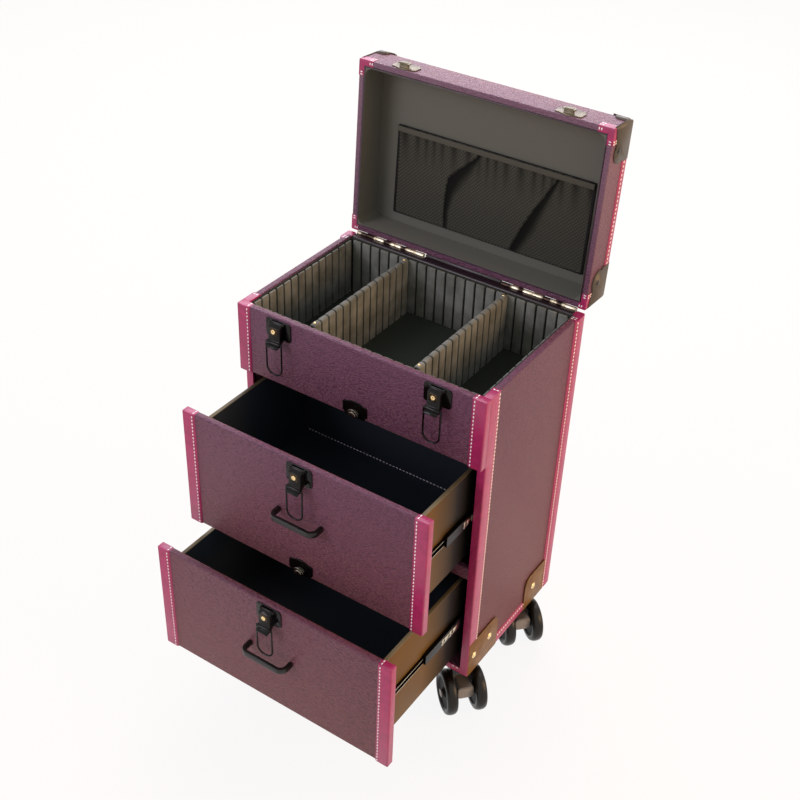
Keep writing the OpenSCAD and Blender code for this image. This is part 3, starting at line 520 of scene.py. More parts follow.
# Thick dark brown leather, dull and faintly mottled, painted golden brown as warm light on it
patch_leather = grained_leather("dark_leather_painted_warm_light", "#84602a", "#6d4c1c", 0.5,
                                1.4 * mm, 0.2 * mm, Specular_IOR_Level=0.2)

# Lacquered brass: a warm metal whose dimples soften the reflections
brass = textured("lacquered_brass", "#f0d39c", 0.26, "TexNoise", 1.67 * mm,
                 relief=(0.1, 0.03 * mm), Metallic=1.0)

dress("corner_patches", "riveted_corner_patches", patch_leather, "case", 0.5 * mm)


def add_dome(bm, place, out, radius, height):
    """Adds the domed head of a rivet or stud on a face that points out."""
    turn = Vector(out).to_track_quat("Z", "X").to_matrix().to_4x4()
    shape = Matrix.Diagonal((radius, radius, height, 1))
    bmesh.ops.create_uvsphere(bm, u_segments=20, v_segments=10, radius=1,
                              matrix=Matrix.Translation(place) @ turn @ shape)


patch_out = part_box("corner_patches")[1].x
rivet_places = ((61, 30), (23, 28), (176, 28))  # back from the front and up, in mm
rivet_steps = ((4.8, 1.3), (3.2, 2.0))          # radius and height of its flange and dome
rivets = bmesh.new()
for side in (-1, 1):
    for back, up in rivet_places:
        spot = (side * patch_out, front_y + back * mm, case_z + up * mm)
        for radius, height in rivet_steps:
            add_dome(rivets, spot, (side, 0, 0), radius * mm, height * mm)
make_piece(rivets, "corner_patch_rivets", [brass], "case")


# ----------------------------------------------------- compartment lining
# Foam ribs covered in brushed nylon, glued side by side on a dark backing;
# the dividers slide into the grooves between them.

# Brushed nylon over foam: dull, with a short fuzz that lights up at a slant
lining_cloth, tree, shader, coords = new_material("brushed_nylon_lining", "#6f7069", 0.95,
                                                  Specular_IOR_Level=0.1, Sheen_Weight=0.2,
                                                  Sheen_Roughness=0.5)
fuzz = add_node(tree, "TexNoise", {"Vector": coords, "Scale": 1 / (1.11 * mm), "Detail": 4.0})
bump = add_node(tree, "Bump", {"Height": fuzz, "Strength": 0.5, "Distance": 0.25 * mm})
patches = add_node(tree, "TexNoise", {"Vector": coords, "Scale": 1 / (22.2 * mm), "Detail": 4.0})
brushed = add_node(tree, "MapRange", {"Value": patches, "From Min": 0.35, "From Max": 0.65})
toned = add_node(tree, "Mix", {0: brushed, "A": "#6b6f68", "B": "#898e87"}, data_type="RGBA")
wire(shader, {"Base Color": toned, "Normal": bump})

# Black felt backing: swallows the light in the grooves
black_felt = textured("black_felt", "#3a403a", 1.0, "TexNoise", 1.43 * mm,
                      relief=(0.4, 0.2 * mm), marks={"Detail": 3.0}, Specular_IOR_Level=0.1)

lining_low, lining_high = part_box("compartment_lining")
rib_pitch = 14.5 * mm
groove_w = 2.2 * mm
rib_t = 2.9 * mm
rib_round = 1.3 * mm
rib_inset = 4 * mm   # from the corners of the compartment
backing_t = 1.1 * mm
rib_low = lining_low.z + 2 * mm
rib_high = lining_high.z - 2 * mm
backing_high = lining_high.z - 1 * mm


def rib_places(low, high):
    """Starts and ends of the ribs that fill a length."""
    count = round((high - low) / rib_pitch)
    pitch = (high - low) / count
    return [(low + i * pitch + groove_w / 2, low + (i + 1) * pitch - groove_w / 2)
            for i in range(count)]


ribs = bmesh.new()
backing = bmesh.new()
for side in (-1, 1):
    wall = side * lining_high.x
    face = wall - side * backing_t
    add_block(backing, (wall, lining_low.y, lining_low.z), (face, lining_high.y, backing_high))
    for start, end in rib_places(lining_low.y + rib_inset, lining_high.y - rib_inset):
        add_block(ribs, (face - side * rib_t, start, rib_low), (face, end, rib_high), rib_round)
    wall = side * lining_high.y
    face = wall - side * backing_t
    add_block(backing, (lining_low.x, wall, lining_low.z), (lining_high.x, face, backing_high))
    for start, end in rib_places(lining_low.x + rib_inset, lining_high.x - rib_inset):
        add_block(ribs, (start, face - side * rib_t, rib_low), (end, face, rib_high), rib_round)
add_block(backing, lining_low, (lining_high.x, lining_high.y, rib_low))
lining = make_piece(ribs, "compartment_lining_ribs", [lining_cloth], "case",
                    ["compartment_lining"])
make_piece(backing, "compartment_backing", [black_felt], "case")


# ------------------------------------------------------------- dividers
# Loose walls of the same ribbed foam, folded over a stiff core, with a
# brass stud through each end of the fold.

divider_low, divider_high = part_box("dividers")
divider_t = 8 * mm
fold_round = 3.2 * mm  # where the foam folds over the core
rib_end_round = 1.2 * mm
core_t = 4.4 * mm
divider_ribs = bmesh.new()
cores = bmesh.new()
for side in (-1, 1):
    middle = side * (divider_high.x - divider_t / 2)
    for start, end in rib_places(divider_low.y, divider_high.y):
        own = bmesh.new()
        add_block(own, (middle - divider_t / 2, start, divider_low.z),
                  (middle + divider_t / 2, end, divider_high.z))
        long_top = [e for e in own.edges if all(v.co.z > divider_high.z - tiny for v in e.verts)
                    and abs(e.verts[0].co.x - e.verts[1].co.x) < tiny]
        round_edges(own, long_top, fold_round, 4)
        ends = [e for e in own.edges if abs(e.verts[0].co.y - e.verts[1].co.y) < tiny]
        round_edges(own, ends, rib_end_round)
        pour(own, divider_ribs)
    add_block(cores, (middle - core_t / 2, divider_low.y, divider_low.z),
              (middle + core_t / 2, divider_high.y, divider_high.z - 1.6 * mm), 0.6 * mm)
divider = make_piece(divider_ribs, "divider_ribs", [lining_cloth], "case",
                     ["dividers"])
make_piece(cores, "divider_cores", [black_felt], "case")

stud_low, stud_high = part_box("divider_studs")
stud_r = 1.8 * mm
stud_h = 1.2 * mm
studs = bmesh.new()
for x in (stud_low.x + stud_r, stud_high.x - stud_r):
    for y in (stud_low.y + stud_r, stud_high.y - stud_r):
        add_dome(studs, (x, y, stud_low.z), (0, 0, 1), stud_r, stud_h)
make_piece(studs, "divider_brass_studs", [brass], "case", ["divider_studs"])


# --------------------------------------------------------------- slides
# Telescopic drawer slides: roll-formed steel channels in black zinc, with
# rows of steel balls in cages between them.

# Black zinc plating: dark, thin and slightly streaked along the channel
black_zinc = textured("black_zinc_steel", "#171513", 0.3, "TexNoise", 2.5 * mm,
                      relief=(0.15, 0.1 * mm), gloss=(0.18, 0.42), marks={"Detail": 3.0},
                      stretch=(1, 0.02, 1), Metallic=0.9)

# Bare steel, drawn along its length: a warm grey with bright streaks
bare_steel = textured("bare_drawn_steel", "#d6c9ae", 0.25, "TexNoise", 3.33 * mm,
                      relief=(0.2, 0.1 * mm), stretch=(1, 0.067, 1), Metallic=1.0)

# Cross bars of a ball cage's end: start, end and half height, in mm
cage_bars = ((36, 39, 5.0), (42, 50, 3.4), (53, 57, 4.6), (61, 70, 3.2))
cage_start, cage_end = 34 * mm, 71 * mm
ball_row = 3 * mm    # above and below the middle
rod_half = 0.7 * mm
lip_h = 0.7 * mm     # of the inner channel's bare lips
dress("slide_outer_members", "slide_channels_outer", black_zinc, "case", 0.2 * mm)
for name in ("drawer_1", "drawer_2"):
    dress(name + "_middle_slides", name + "_slide_channels_middle", black_zinc, name + "_middle")
    dress(name + "_inner_slides", name + "_slide_channels_inner", black_zinc, name,
          0.2 * mm)
    # Bright end of the ball cage on the middle channel, and the bare lips of the inner one
    slide_low, slide_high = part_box(name + "_middle_slides")
    inner_low, inner_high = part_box(name + "_inner_slides")
    middle_z = (slide_low.z + slide_high.z) / 2
    cage_x = slide_high.x - 0.3 * mm
    cages = bmesh.new()
    lips = bmesh.new()
    for start, end, half in cage_bars:
        add_block(cages, (cage_x, slide_low.y + start * mm, middle_z - half * mm),
                  (slide_high.x + 0.6 * mm, slide_low.y + end * mm, middle_z + half * mm),
                  0.3 * mm)
    for z in (middle_z - ball_row, middle_z + ball_row):
        add_block(cages, (cage_x, slide_low.y + cage_start, z - rod_half),
                  (slide_high.x + 0.4 * mm, slide_low.y + cage_end, z + rod_half))
    for z in (inner_low.z, inner_high.z - lip_h):
        add_block(lips, (inner_high.x - 0.6 * mm, inner_low.y + 1 * mm, z),
                  (inner_high.x + 0.15 * mm, slide_low.y + 2 * mm, z + lip_h), 0.2 * mm)
    for part in (cages, lips):
        add_mirrored(part)
    make_piece(cages, name + "_ball_cage_ends", [bare_steel], name + "_middle")
    make_piece(lips, name + "_slide_lips", [bare_steel], name)


# -------------------------------------------------------------- drawers
# Boxes of thin board: dark brown foil outside, painted golden by warm light, black cloth-paper
# inside,
# glued behind leather-covered fronts with bound ends and bent pulls.

def foil(name, colour, shade, far, roughness, fleck):
    """Printed foil on board: even and dull, with a faint linen emboss."""
    material, tree, shader, coords = new_material(name, colour, roughness, Specular_IOR_Level=0.18)
    weave = add_node(tree, "TexNoise", {"Vector": coords, "Scale": 1 / fleck, "Detail": 4.0})
    bump = add_node(tree, "Bump", {"Height": weave, "Strength": 0.3, "Distance": 0.1 * mm})
    clouds = add_node(tree, "TexNoise", {"Vector": coords, "Scale": 12.0, "Detail": 2.0})
    toned = add_node(tree, "Mix", {0: clouds, "A": shade, "B": colour}, data_type="RGBA")
    # Painted shade: the colour darkens towards the back of the drawer, where the case shades it
    depth = add_node(tree, "SeparateXYZ", {0: coords}).outputs["Y"]
    back = add_node(tree, "MapRange", {"Value": depth, "From Min": -0.182, "From Max": -0.125})
    with_case_shade = add_node(tree, "Mix", {0: back, "A": toned, "B": far}, data_type="RGBA")
    wire(shader, {"Base Color": with_case_shade, "Normal": bump})
    return material


# Dark brown foil outside, its golden tone painted warm light; blue-black cloth-paper inside; olive
# tan band on the edges
outer_foil = foil("golden_brown_foil", "#7a5c2a", "#604821", "#14110d", 0.5, 1.5 * mm)
inner_paper = foil("black_cloth_paper", "#37414a", "#2b343d", "#222a32", 0.6, 0.8 * mm)
edge_band = foil("olive_tan_edge_band", "#8a8266", "#736b50", "#4d4634", 0.4, 1.5 * mm)

# Satin black enamel on bent steel bar: soft, broad highlights
satin_enamel = textured("satin_black_enamel", "#110e0b", 0.33, "TexNoise", 2.86 * mm,
                        relief=(0.2, 0.1 * mm), Specular_IOR_Level=0.4)

side_t = 5 * mm  # thickness of the box's sides
for name in ("drawer_1", "drawer_2"):
    front_low, front_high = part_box(name + "_front")
    dress(name + "_front", name + "_covered_front", eggplant_leather, name,
          board_edge, 3)
    sleeves = bmesh.new()
    thread = bmesh.new()
    front_sleeve(sleeves, thread, front_low.y - front_y, front_low.z, front_high.z)
    make_piece(sleeves, name + "_binding_sleeves", [magenta_leather], name,
               [name + "_bindings"])
    make_piece(thread, name + "_binding_stitches", [sewing_thread], name)
    box_low, box_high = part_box(name + "_box")
    within = 0.6 * side_t
    box = eased_copy(name + "_box", 0.5 * mm)
    lay_materials(box, lambda p: 2 if p.z > box_high.z - 0.6 * mm else (
        abs(p.x) < box_high.x - within and p.y < box_high.y - within and p.z > box_low.z + 1 * mm))
    make_piece(box, name + "_board_box", [outer_foil, inner_paper, edge_band], name,
               [name + "_box"])
    # Pale stitches hold the lining paper along the back of the floor
    seam = bmesh.new()
    last = Vector((box_high.x - side_t - 2 * mm, box_high.y - side_t, box_low.z + 6 * mm))
    stitch_rows(seam, last * Vector((-1, 1, 1)), last, (0, -1, 0), sides=(1,))
    make_piece(seam, name + "_lining_seam", [sewing_thread], name)
    dress(name + "_handle", name + "_bent_pull", satin_enamel, name, 0.9 * mm, 3)


# --------------------------------------------------------------- lid box
# A shallow box of the same boards and leather. Its pieces are drawn on the
# shut lid and then turned to where the lid stands open.

hinge = next(j for j in frame["joints"] if j["name"] == "lid_hinge")
hinge_place = Matrix.Translation(hinge["pos_m"])
opening = Matrix.Rotation(radians(min(hinge["range_deg"])), 4, "X")
lid_opened = hinge_place @ opening @ hinge_place.inverted()
lid_shut = lid_opened.inverted()


def shut_box(node):
    """Lowest and highest corners of a lid node when the lid is shut."""
    points = [lid_shut @ v.co for v in frame["nodes"][node].data.vertices]
    return Vector(map(min, zip(*points))), Vector(map(max, zip(*points)))


def make_lid_piece(bm, name, material, replaced=(), crease=35):
    """Turns what is drawn on the shut lid to where the lid stands, and makes it a piece."""
    bmesh.ops.transform(bm, matrix=lid_opened, verts=bm.verts)
    return make_piece(bm, name, [material], "lid", replaced, crease)


dress("lid_shell", "covered_lid_box", eggplant_leather, "lid", 1.2 * mm, 3)

lid_low, lid_high = shut_box("lid_shell")
strip_start, strip_end = (corner.y for corner in shut_box("lid_bindings"))
strip_w = 15.5 * mm
strip_round = 8.5 * mm  # follows the lid's rounded edge
top = lid_high.z
strip_top = top + band_t
strip_x = half_w - strip_w
strip_z = top - strip_w
lid_strips = bmesh.new()
prism(lid_strips, [(core_x, top - 5 * mm), (core_x, strip_z), (lip_x, strip_z),
                   (outer, strip_z + band_slope), (outer, strip_top),
                   (strip_x + band_slope, strip_top), (strip_x, top + band_lip),
                   (strip_x, top - 5 * mm)], "Y", strip_start, strip_end)
round_where(lid_strips, lambda p: p.x > outer - tiny and p.z > top, strip_round, 6)
add_mirrored(lid_strips)
low_seam = strip_z + band_slope + seam_in
top_seam = strip_x + band_slope + seam_in
lid_thread = bmesh.new()
stitch_rows(lid_thread, (outer, strip_start, low_seam), (outer, strip_end, low_seam), (1, 0, 0))
stitch_rows(lid_thread, (top_seam, strip_start, strip_top), (top_seam, strip_end, strip_top),
            (0, 0, 1))

# Wraps round the four corners of the lid's rim, sewn twice across each leg
wall_t = half_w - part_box("lid_lining")[1].x
wrap_leg = 20 * mm
back_leg = 10 * mm     # shorter beside the hinges
wrap_h = 11 * mm       # up the outer faces
wrap_t = 0.4 * mm      # proud of the faces
under_t = 0.05 * mm    # proud of the rim
wrap_round = 1.6 * mm
under_round = 0.2 * mm
wrap_seams = (1.6 * mm, 4.6 * mm)
rim = lid_low.z
under = rim - under_t
wrap_top = rim + wrap_h
out_x = half_w + wrap_t
in_x = half_w - wall_t
for sign, face, leg in ((-1, lid_low.y, wrap_leg), (1, lid_high.y, back_leg)):
    out_y = face + sign * wrap_t
    in_y = face - sign * wall_t
    leg_y = face - sign * wrap_leg
    own = bmesh.new()
    prism(own, [(out_x, out_y), (out_x, leg_y), (in_x, leg_y), (in_x, in_y),
                (half_w - leg, in_y), (half_w - leg, out_y)], "Z", under, wrap_top)
    round_where(own, lambda p: p.x > half_w and sign * p.y > sign * face, wrap_round, 3)
    round_where(own, lambda p: p.z < rim, under_round)
    add_mirrored(own)
    pour(own, lid_strips)
    for inset in wrap_seams:
        y = leg_y + sign * inset
        x = half_w - leg + inset
        for start, end, out in (
            ((in_x, y, under), (out_x, y, under), (0, 0, -1)),
            ((out_x, y, rim), (out_x, y, wrap_top), (1, 0, 0)),
            ((x, in_y, under), (x, out_y, under), (0, 0, -1)),
            ((x, out_y, rim), (x, out_y, wrap_top), (0, sign, 0)),
        ):
            stitch_rows(lid_thread, start, end, out)
make_lid_piece(lid_strips, "lid_binding_strips", magenta_leather, ["lid_bindings"])
make_lid_piece(lid_thread, "lid_binding_stitches", sewing_thread)

# A dark leather welt, rubbed to a low shine, closes the joint between the rim and the lining
welt_leather = grained_leather("dark_plum_welt_leather", "#3a2232", "#2c1a27", 0.3, 1.0 * mm,
                               0.1 * mm)
welt = bmesh.new()
welt_w = 1.8 * mm
welt_round = 0.6 * mm
welt_low = rim - 0.2 * mm
welt_high = rim + 1.4 * mm
welt_front = lid_low.y + wall_t
welt_back = lid_high.y - wall_t
for side in (-1, 1):
    add_block(welt, (side * in_x, welt_front, welt_low),
              (side * (in_x - welt_w), welt_back, welt_high), welt_round)
for y, y_inside in ((welt_front, welt_front + welt_w), (welt_back, welt_back - welt_w)):
    add_block(welt, (-in_x, y, welt_low), (in_x, y_inside, welt_high), welt_round)
make_lid_piece(welt, "lid_rim_welt", welt_leather)

# Moulded black ABS corner guards, screwed on, painted olive for the light on them, with a fine
# spark texture
corner_abs = textured("textured_black_abs_painted_olive_light", "#534b3b", 0.4, "TexVoronoi", 0.667 * mm,
                      relief=(0.35, 0.1 * mm))
guard_t = 2 * mm
guard_round = 6.5 * mm  # of the upright corners
guard_cuts = 6
guards = eased_copy("lid_corners", 0)
bmesh.ops.transform(guards, matrix=lid_shut, verts=guards.verts)
core = (half_w + guard_t - guard_round, lid_high.y + guard_t - guard_round)
for step in range(1, guard_cuts + 1):
    at = guard_round * tan(radians(45 * step / guard_cuts))
    for axis in (0, 1):
        for side in (-1, 1):
            spot = Vector((0, 0, 0))
            spot[axis] = side * (core[axis] + at)
            bmesh.ops.bisect_plane(guards, geom=guards.verts[:] + guards.edges[:] + guards.faces[:],
                                   dist=tiny, plane_co=spot, plane_no=Vector((1 - axis, axis, 0)))
for vert in guards.verts:
    off = (abs(vert.co.x) - core[0], abs(vert.co.y) - core[1])
    if min(off) > 0:
        pull = max(off) / hypot(*off)
        vert.co.x = copysign(core[0] + off[0] * pull, vert.co.x)
        vert.co.y = copysign(core[1] + off[1] * pull, vert.co.y)
make_lid_piece(guards, "lid_corner_guards", corner_abs, ["lid_corners"],
               crease=50)

# Black screws through the guards
screw_places = ((28.9, 15.8), (194.7, 19.7))  # back from the front and up from the rim, in mm
screw_r = 3.4 * mm
screw_h = 1.4 * mm
screws = bmesh.new()
for side in (-1, 1):
    for back, up in screw_places:
        add_dome(screws, (side * (half_w + guard_t), front_y + back * mm, rim + up * mm),
                 (side, 0, 0), screw_r, screw_h)
make_lid_piece(screws, "lid_guard_screws", satin_enamel)


# ------------------------------------------------------------ lid lining
# One moulded tray of foam-backed cloth with soft inner corners, glued into
# the lid, and a net pocket sewn to it with bound edges and an elastic top.

# Moulded lining cloth: tight and matt, pressed smooth over the foam
tray_cloth = textured("moulded_lining_cloth", "#6e7067", 0.85, "TexNoise", 0.909 * mm,
                      relief=(0.35, 0.15 * mm), marks={"Detail": 3.0}, Specular_IOR_Level=0.1,
                      Sheen_Weight=0.15)
dress("lid_lining", "moulded_lid_lining", tray_cloth, "lid")

pocket_low, pocket_high = shut_box("mesh_pocket")
net_w = pocket_high.x - pocket_low.x
net_h = pocket_high.y - pocket_low.y
net_mid = (pocket_low.x + pocket_high.x) / 2
net_pitch = 3.4 * mm
# Each pleat's sewn line: the share of the way up, the place along the lid and the width of
# its valley, in mm
pleats = (((0, -56, 7), (0.2, -58, 9), (0.4, -57, 14), (0.58, -55, 26), (0.7, -42, 22),
           (0.85, -22, 9), (1, -8, 4)),
          ((0, 40, 15), (0.28, 53, 20), (0.52, 67, 15), (0.82, 87, 7), (1, 98, 3)))
pleat_ridge = 9 * mm  # where the net swells beside a valley
elastic_share = 0.45  # of the pocket's height that the elastic gathers


def pleat_at(knots, v):
    """Where a pleat's line runs and its valley's width, v of the way up the pocket."""
    for (low, x_low, w_low), (high, x_high, w_high) in zip(knots, knots[1:]):
        if v <= high:
            break
    t = min(1, (v - low) / (high - low))
    return (x_low + (x_high - x_low) * t) * mm, (w_low + (w_high - w_low) * t) * mm


def net_shape(x, v):
    """How far the net stands off the lining, and how much of it is folded double there, which also
    sets its painted fold shade.
    """
    lift = sin(pi * min(1, max(0, (x - pocket_low.x) / net_w))) ** 0.25
    fold = 0.0
    for knots in pleats:
        line, width = pleat_at(knots, v)
        off = x - line
        if 0 <= off < width:
            depth = 1 - off / width
            fold = max(fold, min(1, 1.5 * depth ** 0.6))
            lift *= 1 - 0.95 * depth ** 1.3
        elif -pleat_ridge < off < 0:
            lift *= 1 + 0.3 * (1 + off / pleat_ridge)
    # Small gathers under the elastic, of uneven width, with painted shade in their streaks
    pull = max(0, (v - 1 + elastic_share) / elastic_share) ** 1.2
    gather = (0.5 + 0.5 * sin(x / (2.4 * mm) + 1.8 * sin(x / (13 * mm)) + 2.5 * v)) ** 1.6
    fold = max(fold, 0.95 * gather * pull)
    return (0.5 + 3.2 * lift * (0.45 + 0.55 * v) - 1.1 * gather * pull * min(1, lift)) * mm, fold


# Knotted polyester net: dark yarn round open holes, drawn at 3.4 mm so that they show, and
# closed where it is folded, with painted shade making it blacker in the folds and gathers
net_cloth, tree, shader, coords = new_material("knotted_polyester_net", "#191a15", 0.75,
                                               Specular_IOR_Level=0.1, Sheen_Weight=0.1)
net_uv = add_node(tree, "UVMap", uv_map="weave")
turned = add_node(tree, "Mapping", {"Vector": net_uv, "Rotation": (0, 0, radians(45))})
holes = add_node(tree, "TexVoronoi", {"Vector": turned, "Scale": 1.0, "Randomness": 0.0},
                 voronoi_dimensions="2D")
folded = add_node(tree, "Attribute", attribute_name="fold").outputs["Fac"]
solid = add_node(tree, "MapRange", {"Value": holes, "From Min": 0.26, "From Max": 0.4})
closed = add_node(tree, "Math", {0: solid, 1: folded}, operation="ADD", use_clamp=True)
shade = add_node(tree, "Mix", {0: folded, "A": "#4b4c43", "B": "#070806"}, data_type="RGBA")
wire(shader, {"Base Color": shade, "Alpha": closed})

net = bmesh.new()
bmesh.ops.create_grid(net, x_segments=230, y_segments=60, size=0.5)
fold_layer = net.verts.layers.float.new("fold")
weave_layer = net.loops.layers.uv.new("weave")
for vert in net.verts:
    x = net_mid + vert.co.x * net_w
    v = 0.5 - vert.co.y
    lift, vert[fold_layer] = net_shape(x, v)
    vert.co = (x, pocket_low.y + (1 - v) * net_h, pocket_high.z - lift)
for face in net.faces:
    for loop in face.loops:
        loop[weave_layer].uv = (loop.vert.co.x / net_pitch, loop.vert.co.y / net_pitch)
bmesh.ops.reverse_faces(net, faces=net.faces)
net_piece = make_lid_piece(net, "net_pocket", net_cloth, ["mesh_pocket"],
                           crease=180)

# Woven tape, folded over the net's edges: dull black, with a slanting rib
tape = textured("woven_binding_tape", "#191919", 0.75, "TexWave", 0.9 * mm,
                relief=(0.4, 0.1 * mm), bands="DIAGONAL", Specular_IOR_Level=0.15)
binding = bmesh.new()
tape_w = 2.5 * mm
tape_over = 1 * mm  # past the net's edge
tape_low = pocket_high.z - 1.6 * mm
for low, high in (
    ((pocket_low.x - tape_over, pocket_low.y), (pocket_low.x + tape_w, pocket_high.y)),
    ((pocket_high.x - tape_w, pocket_low.y), (pocket_high.x + tape_over, pocket_high.y)),
    ((pocket_low.x, pocket_high.y - tape_over), (pocket_high.x, pocket_high.y + tape_over)),
    ((pocket_low.x, pocket_low.y - 0.6 * mm), (pocket_high.x, pocket_low.y)),
):
    add_block(binding, (*low, tape_low), (*high, pocket_high.z), 0.5 * mm)
make_lid_piece(binding, "net_pocket_binding", tape)

# The elastic top edge, ribbed along its length, stands off the lining for a hand
elastic_web = textured("olive_elastic_webbing", "#5b5b51", 0.85, "TexWave", 2.24 * mm,
                       relief=(0.5, 0.3 * mm), bands="Z", Specular_IOR_Level=0.1)
elastic_w = 7 * mm
elastic = bmesh.new()
add_block(elastic, (pocket_low.x, pocket_low.y, pocket_high.z - 5 * mm),
          (pocket_high.x, pocket_low.y + elastic_w, pocket_high.z - 3.6 * mm), 0.5 * mm)
make_lid_piece(elastic, "net_pocket_elastic", elastic_web)


# --------------------------------------------------------------- hinges
# Two long butt hinges of bright zinc-plated steel, rolled round steel pins
# and screwed to the back of the case and of the lid.

# Yellow zinc plating: a pale warm metal with fine lines along the pin
bright_zinc, tree, shader, coords = new_material("yellow_zinc_steel_painted_shade", "#ddd0b6", 0.3, Metallic=1.0)
grain = add_node(tree, "Mapping", {"Vector": coords, "Scale": (12.0, 500.0, 500.0)})
drawn = add_node(tree, "TexNoise", {"Vector": grain, "Scale": 1.0, "Detail": 3.0})
bump = add_node(tree, "Bump", {"Height": drawn, "Strength": 0.15, "Distance": 0.05 * mm})
# Painted shade and reflection: the knuckles alternate between bright and a dark brown along the
# pin, and the leaves away from the pin are dark brown, for the lid's shadow and the dark lid they
# reflect
lengths = add_node(tree, "Mapping", {"Vector": coords, "Scale": (1, 0, 0)})
knuckle_shade_noise = add_node(tree, "TexNoise", {"Vector": lengths, "Scale": 38.0, "Detail": 1.0})
hinge_painted_shade = add_node(tree, "MapRange", {"Value": knuckle_shade_noise, "From Min": 0.46, "From Max": 0.52})
pin_y, pin_z = hinge["pos_m"][1:]
knuckle_r = 3.5 * mm
from_pin = add_node(tree, "Mapping", {"Vector": coords, "Location": (0, -pin_y, -pin_z),
                                      "Scale": (0, 1, 1)})
reach = add_node(tree, "VectorMath", {0: from_pin}, operation="LENGTH")
leaf = add_node(tree, "MapRange", {"Value": reach, "From Min": knuckle_r - 0.1 * mm,
                                   "From Max": knuckle_r + 0.1 * mm})
hinge_painted_shade = add_node(tree, "Math", {0: hinge_painted_shade, 1: leaf}, operation="MAXIMUM")
toned = add_node(tree, "Mix", {0: hinge_painted_shade, "A": "#3b2f2a", "B": "#ddd0b6"}, data_type="RGBA")
wire(shader, {"Base Color": toned, "Normal": bump})
dress("hinge_lower_leaves", "hinge_leaves_lower", bright_zinc, "case", 0.25 * mm)
dress("hinge_upper_leaves", "hinge_leaves_upper", bright_zinc, "lid", 0.25 * mm)
dress("handle_brackets", "carry_handle_brackets", bright_zinc, "lid", 0.4 * mm)

# Moulded grip of the carry handle: soft black plastic with fine pores
grip_plastic = textured("moulded_black_grip", "#171717", 0.55, "TexVoronoi", 1.11 * mm,
                        relief=(0.4, 0.1 * mm))
dress("carry_handle", "carry_handle_grip", grip_plastic, "carry_handle")


# -------------------------------------------------------------- latches
# Key-locked draw latches: die-cast levers in black chrome on stamped base
# plates, sprung wire bails, and studs that the bails pull down on.

# Black chrome over zinc castings: black in the body, with small sharp highlights
black_chrome = textured("black_chrome_plated_zinc", "#0b0907", 0.15, "TexNoise", 3.85 * mm,
                        relief=(0.12, 0.15 * mm), Specular_IOR_Level=0.2)

# The bails rub the keepers' studs down to the grey steel, smooth in some places, dull in others
rubbed_stud = textured("rubbed_steel_stud", "#7d776a", 0.22, "TexNoise", 2 * mm,
                       gloss=(0.14, 0.34), Metallic=1.0)
stud_reach = 2.4 * mm  # what stands out further than this is a stud
stud_half = 9 * mm
for node, piece_name, body, front in (
    ("apron_latch_plates", "latch_plates_on_apron", "case", "apron"),
    ("drawer_1_keeper", "keeper_on_drawer_1", "drawer_1", "drawer_1_front"),
):
    plates = eased_copy(node, 0.35 * mm)
    stud_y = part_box(front)[0].y - stud_reach
    lay_materials(plates, lambda p: p.y < stud_y and abs(p.x) < stud_half)
    make_piece(plates, piece_name, [black_chrome, rubbed_stud], body, [node])

# The keepers on the lid are black, painted an olive bronze tone in soft patches as warm light on
# them
lit_olive_keeper_metal, tree, shader, coords = new_material("black_zinc_painted_olive_light", "#5d5644", 0.36,
                                                 Metallic=0.6)
painted_light_mask = add_node(tree, "TexNoise", {"Vector": coords, "Scale": 1 / (8.33 * mm), "Detail": 3.0})
toned = add_node(tree, "Mix", {0: painted_light_mask, "A": "#3f3a2e", "B": "#8a8069"}, data_type="RGBA")
wire(shader, {"Base Color": toned})
dress("lid_keepers", "keepers_on_lid", lit_olive_keeper_metal, "lid", 0.35 * mm)
for name in ("drawer_1", "drawer_2"):
    dress(name + "_latch_base", name + "_latch_plate", black_chrome, name,
          0.35 * mm)

# Bronzed plate round the key plug: dark, brown and dull
dark_bronze = textured("dark_bronze_plate", "#3a2c18", 0.35, "TexNoise", 3.33 * mm,
                       relief=(0.2, 0.1 * mm), Metallic=0.7)
plug_depth = 0.8 * mm
for name in ("left", "right", "drawer_1", "drawer_2"):
    dress(name + "_latch_lever", name + "_cast_lever", black_chrome, name + "_lever",
          0.35 * mm)
    lock = eased_copy(name + "_latch_lock", 0.25 * mm)
    plug_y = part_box(name + "_latch_lock")[0].y + plug_depth
    lay_materials(lock, lambda p: p.y < plug_y)
    make_piece(lock, name + "_key_cylinder", [dark_bronze, brass], name + "_lever",
               [name + "_latch_lock"])
    dress(name + "_latch_bail", name + "_wire_bail", black_chrome, name + "_bail")


# -------------------------------------------------------------- casters
# Twin-wheel casters: a moulded nylon housing between two wheels, on a
# steel plate and kingpin screwed under the bottom board.

# Moulded nylon: black, with a polished flow that scuffs dull in places
moulded_nylon = textured("moulded_black_nylon", "#17130d", 0.22, "TexNoise", 5.56 * mm,
                         relief=(0.15, 0.15 * mm), gloss=(0.22, 0.4), marks={"Detail": 3.0},
                         Specular_IOR_Level=0.3)
dress("caster_plates", "caster_mounting_plates", black_zinc, "case", 0.3 * mm)

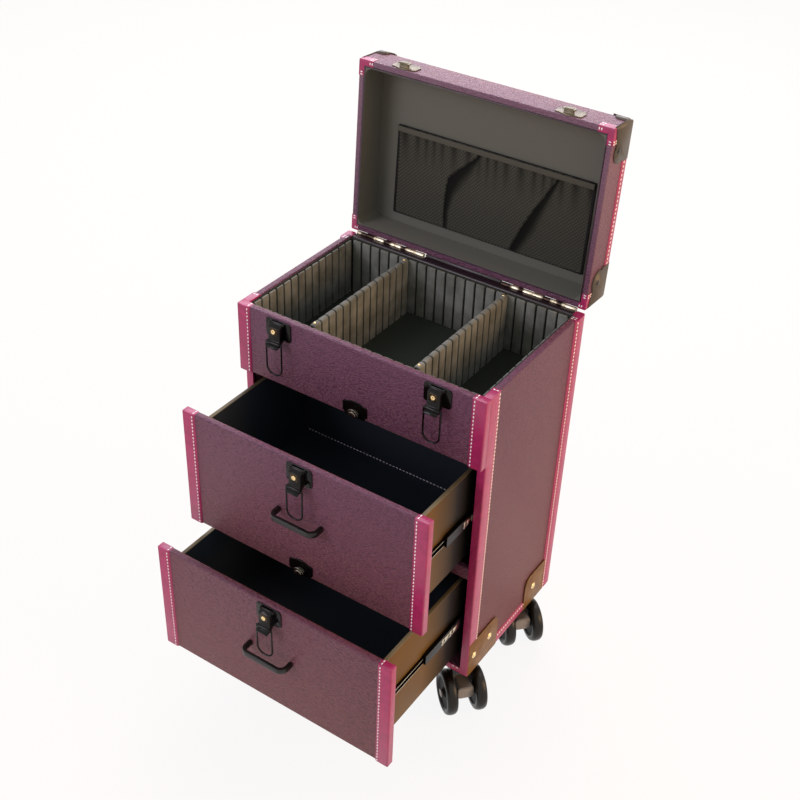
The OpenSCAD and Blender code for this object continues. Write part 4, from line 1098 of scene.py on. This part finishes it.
# The housings are black nylon, rubbed smooth on the nose, with a pale grey painted highlight on the
# nose below the black top
housing_nylon, tree, shader, coords = new_material("black_nylon_painted_lit_nose", "#4e4742", 0.3)
rubbed = add_node(tree, "TexNoise", {"Vector": coords, "Scale": 1 / (11.1 * mm), "Detail": 3.0})
gloss = add_node(tree, "MapRange", {"Value": rubbed, "To Min": 0.2, "To Max": 0.42})
height = add_node(tree, "SeparateXYZ", {0: coords}).outputs["Z"]
painted_light_mask = add_node(tree, "MapRange", {"Value": height, "From Min": 46 * mm, "From Max": 52 * mm})
toned = add_node(tree, "Mix", {0: painted_light_mask, "A": "#96928c", "B": "#151312"}, data_type="RGBA")
wire(shader, {"Base Color": toned, "Roughness": gloss})

# The wheels' hub discs are duller than their rubbed treads
hub_nylon = textured("dull_black_nylon", "#0b0907", 0.55, "TexNoise", 2.5 * mm,
                     relief=(0.25, 0.1 * mm), Specular_IOR_Level=0.15)
# Radius, and distance out along the axle from the middle of the tread, in mm
wheel_outline = ((0, 6.4), (5, 6.4), (6.6, 5.6), (7.4, 4.6), (14, 4.2), (21, 4.8), (22.4, 6.6),
                 (24, 7.4), (26, 7.3), (28, 6.4), (29.2, 4.6), (29.8, 2.4), (30, 0),
                 (29.8, -2.4), (29.2, -4.6), (28, -6.4), (26, -7.3), (22, -7.2), (20, -5.6),
                 (8, -5.6), (7, -7.2), (0, -7.2))
hub_r = 21.6 * mm
wheel_mid = 19.5 * mm
for corner in ("front_left", "front_right", "back_left", "back_right"):
    dress(corner + "_swivel", corner + "_caster_housing", housing_nylon, corner + "_caster",
          1.4 * mm, 3)
    axle = next(j for j in frame["joints"] if j["name"] == corner + "_wheel_spin")
    wheels = bmesh.new()
    for side in (-1, 1):
        own = bmesh.new()
        points = [own.verts.new((r * mm, 0, a * mm)) for r, a in wheel_outline]
        edges = [own.edges.new(pair) for pair in zip(points, points[1:])]
        bmesh.ops.spin(own, geom=points + edges, cent=(0, 0, 0), axis=(0, 0, 1), dvec=(0, 0, 0),
                       angle=2 * pi, steps=64, use_merge=True)
        bmesh.ops.remove_doubles(own, verts=own.verts, dist=0.001 * mm)
        bmesh.ops.recalc_face_normals(own, faces=own.faces)
        lay_materials(own, lambda p: hypot(p.x, p.y) < hub_r)
        out = Vector(axle["axis"]).normalized() * side
        turn = out.to_track_quat("Z", "X").to_matrix().to_4x4()
        place = Matrix.Translation(Vector(axle["pos_m"]) + out * wheel_mid)
        bmesh.ops.transform(own, matrix=place @ turn, verts=own.verts)
        pour(own, wheels)
    make_piece(wheels, corner + "_twin_wheels", [moulded_nylon, hub_nylon],
               corner + "_wheel_pair", [corner + "_wheels"])
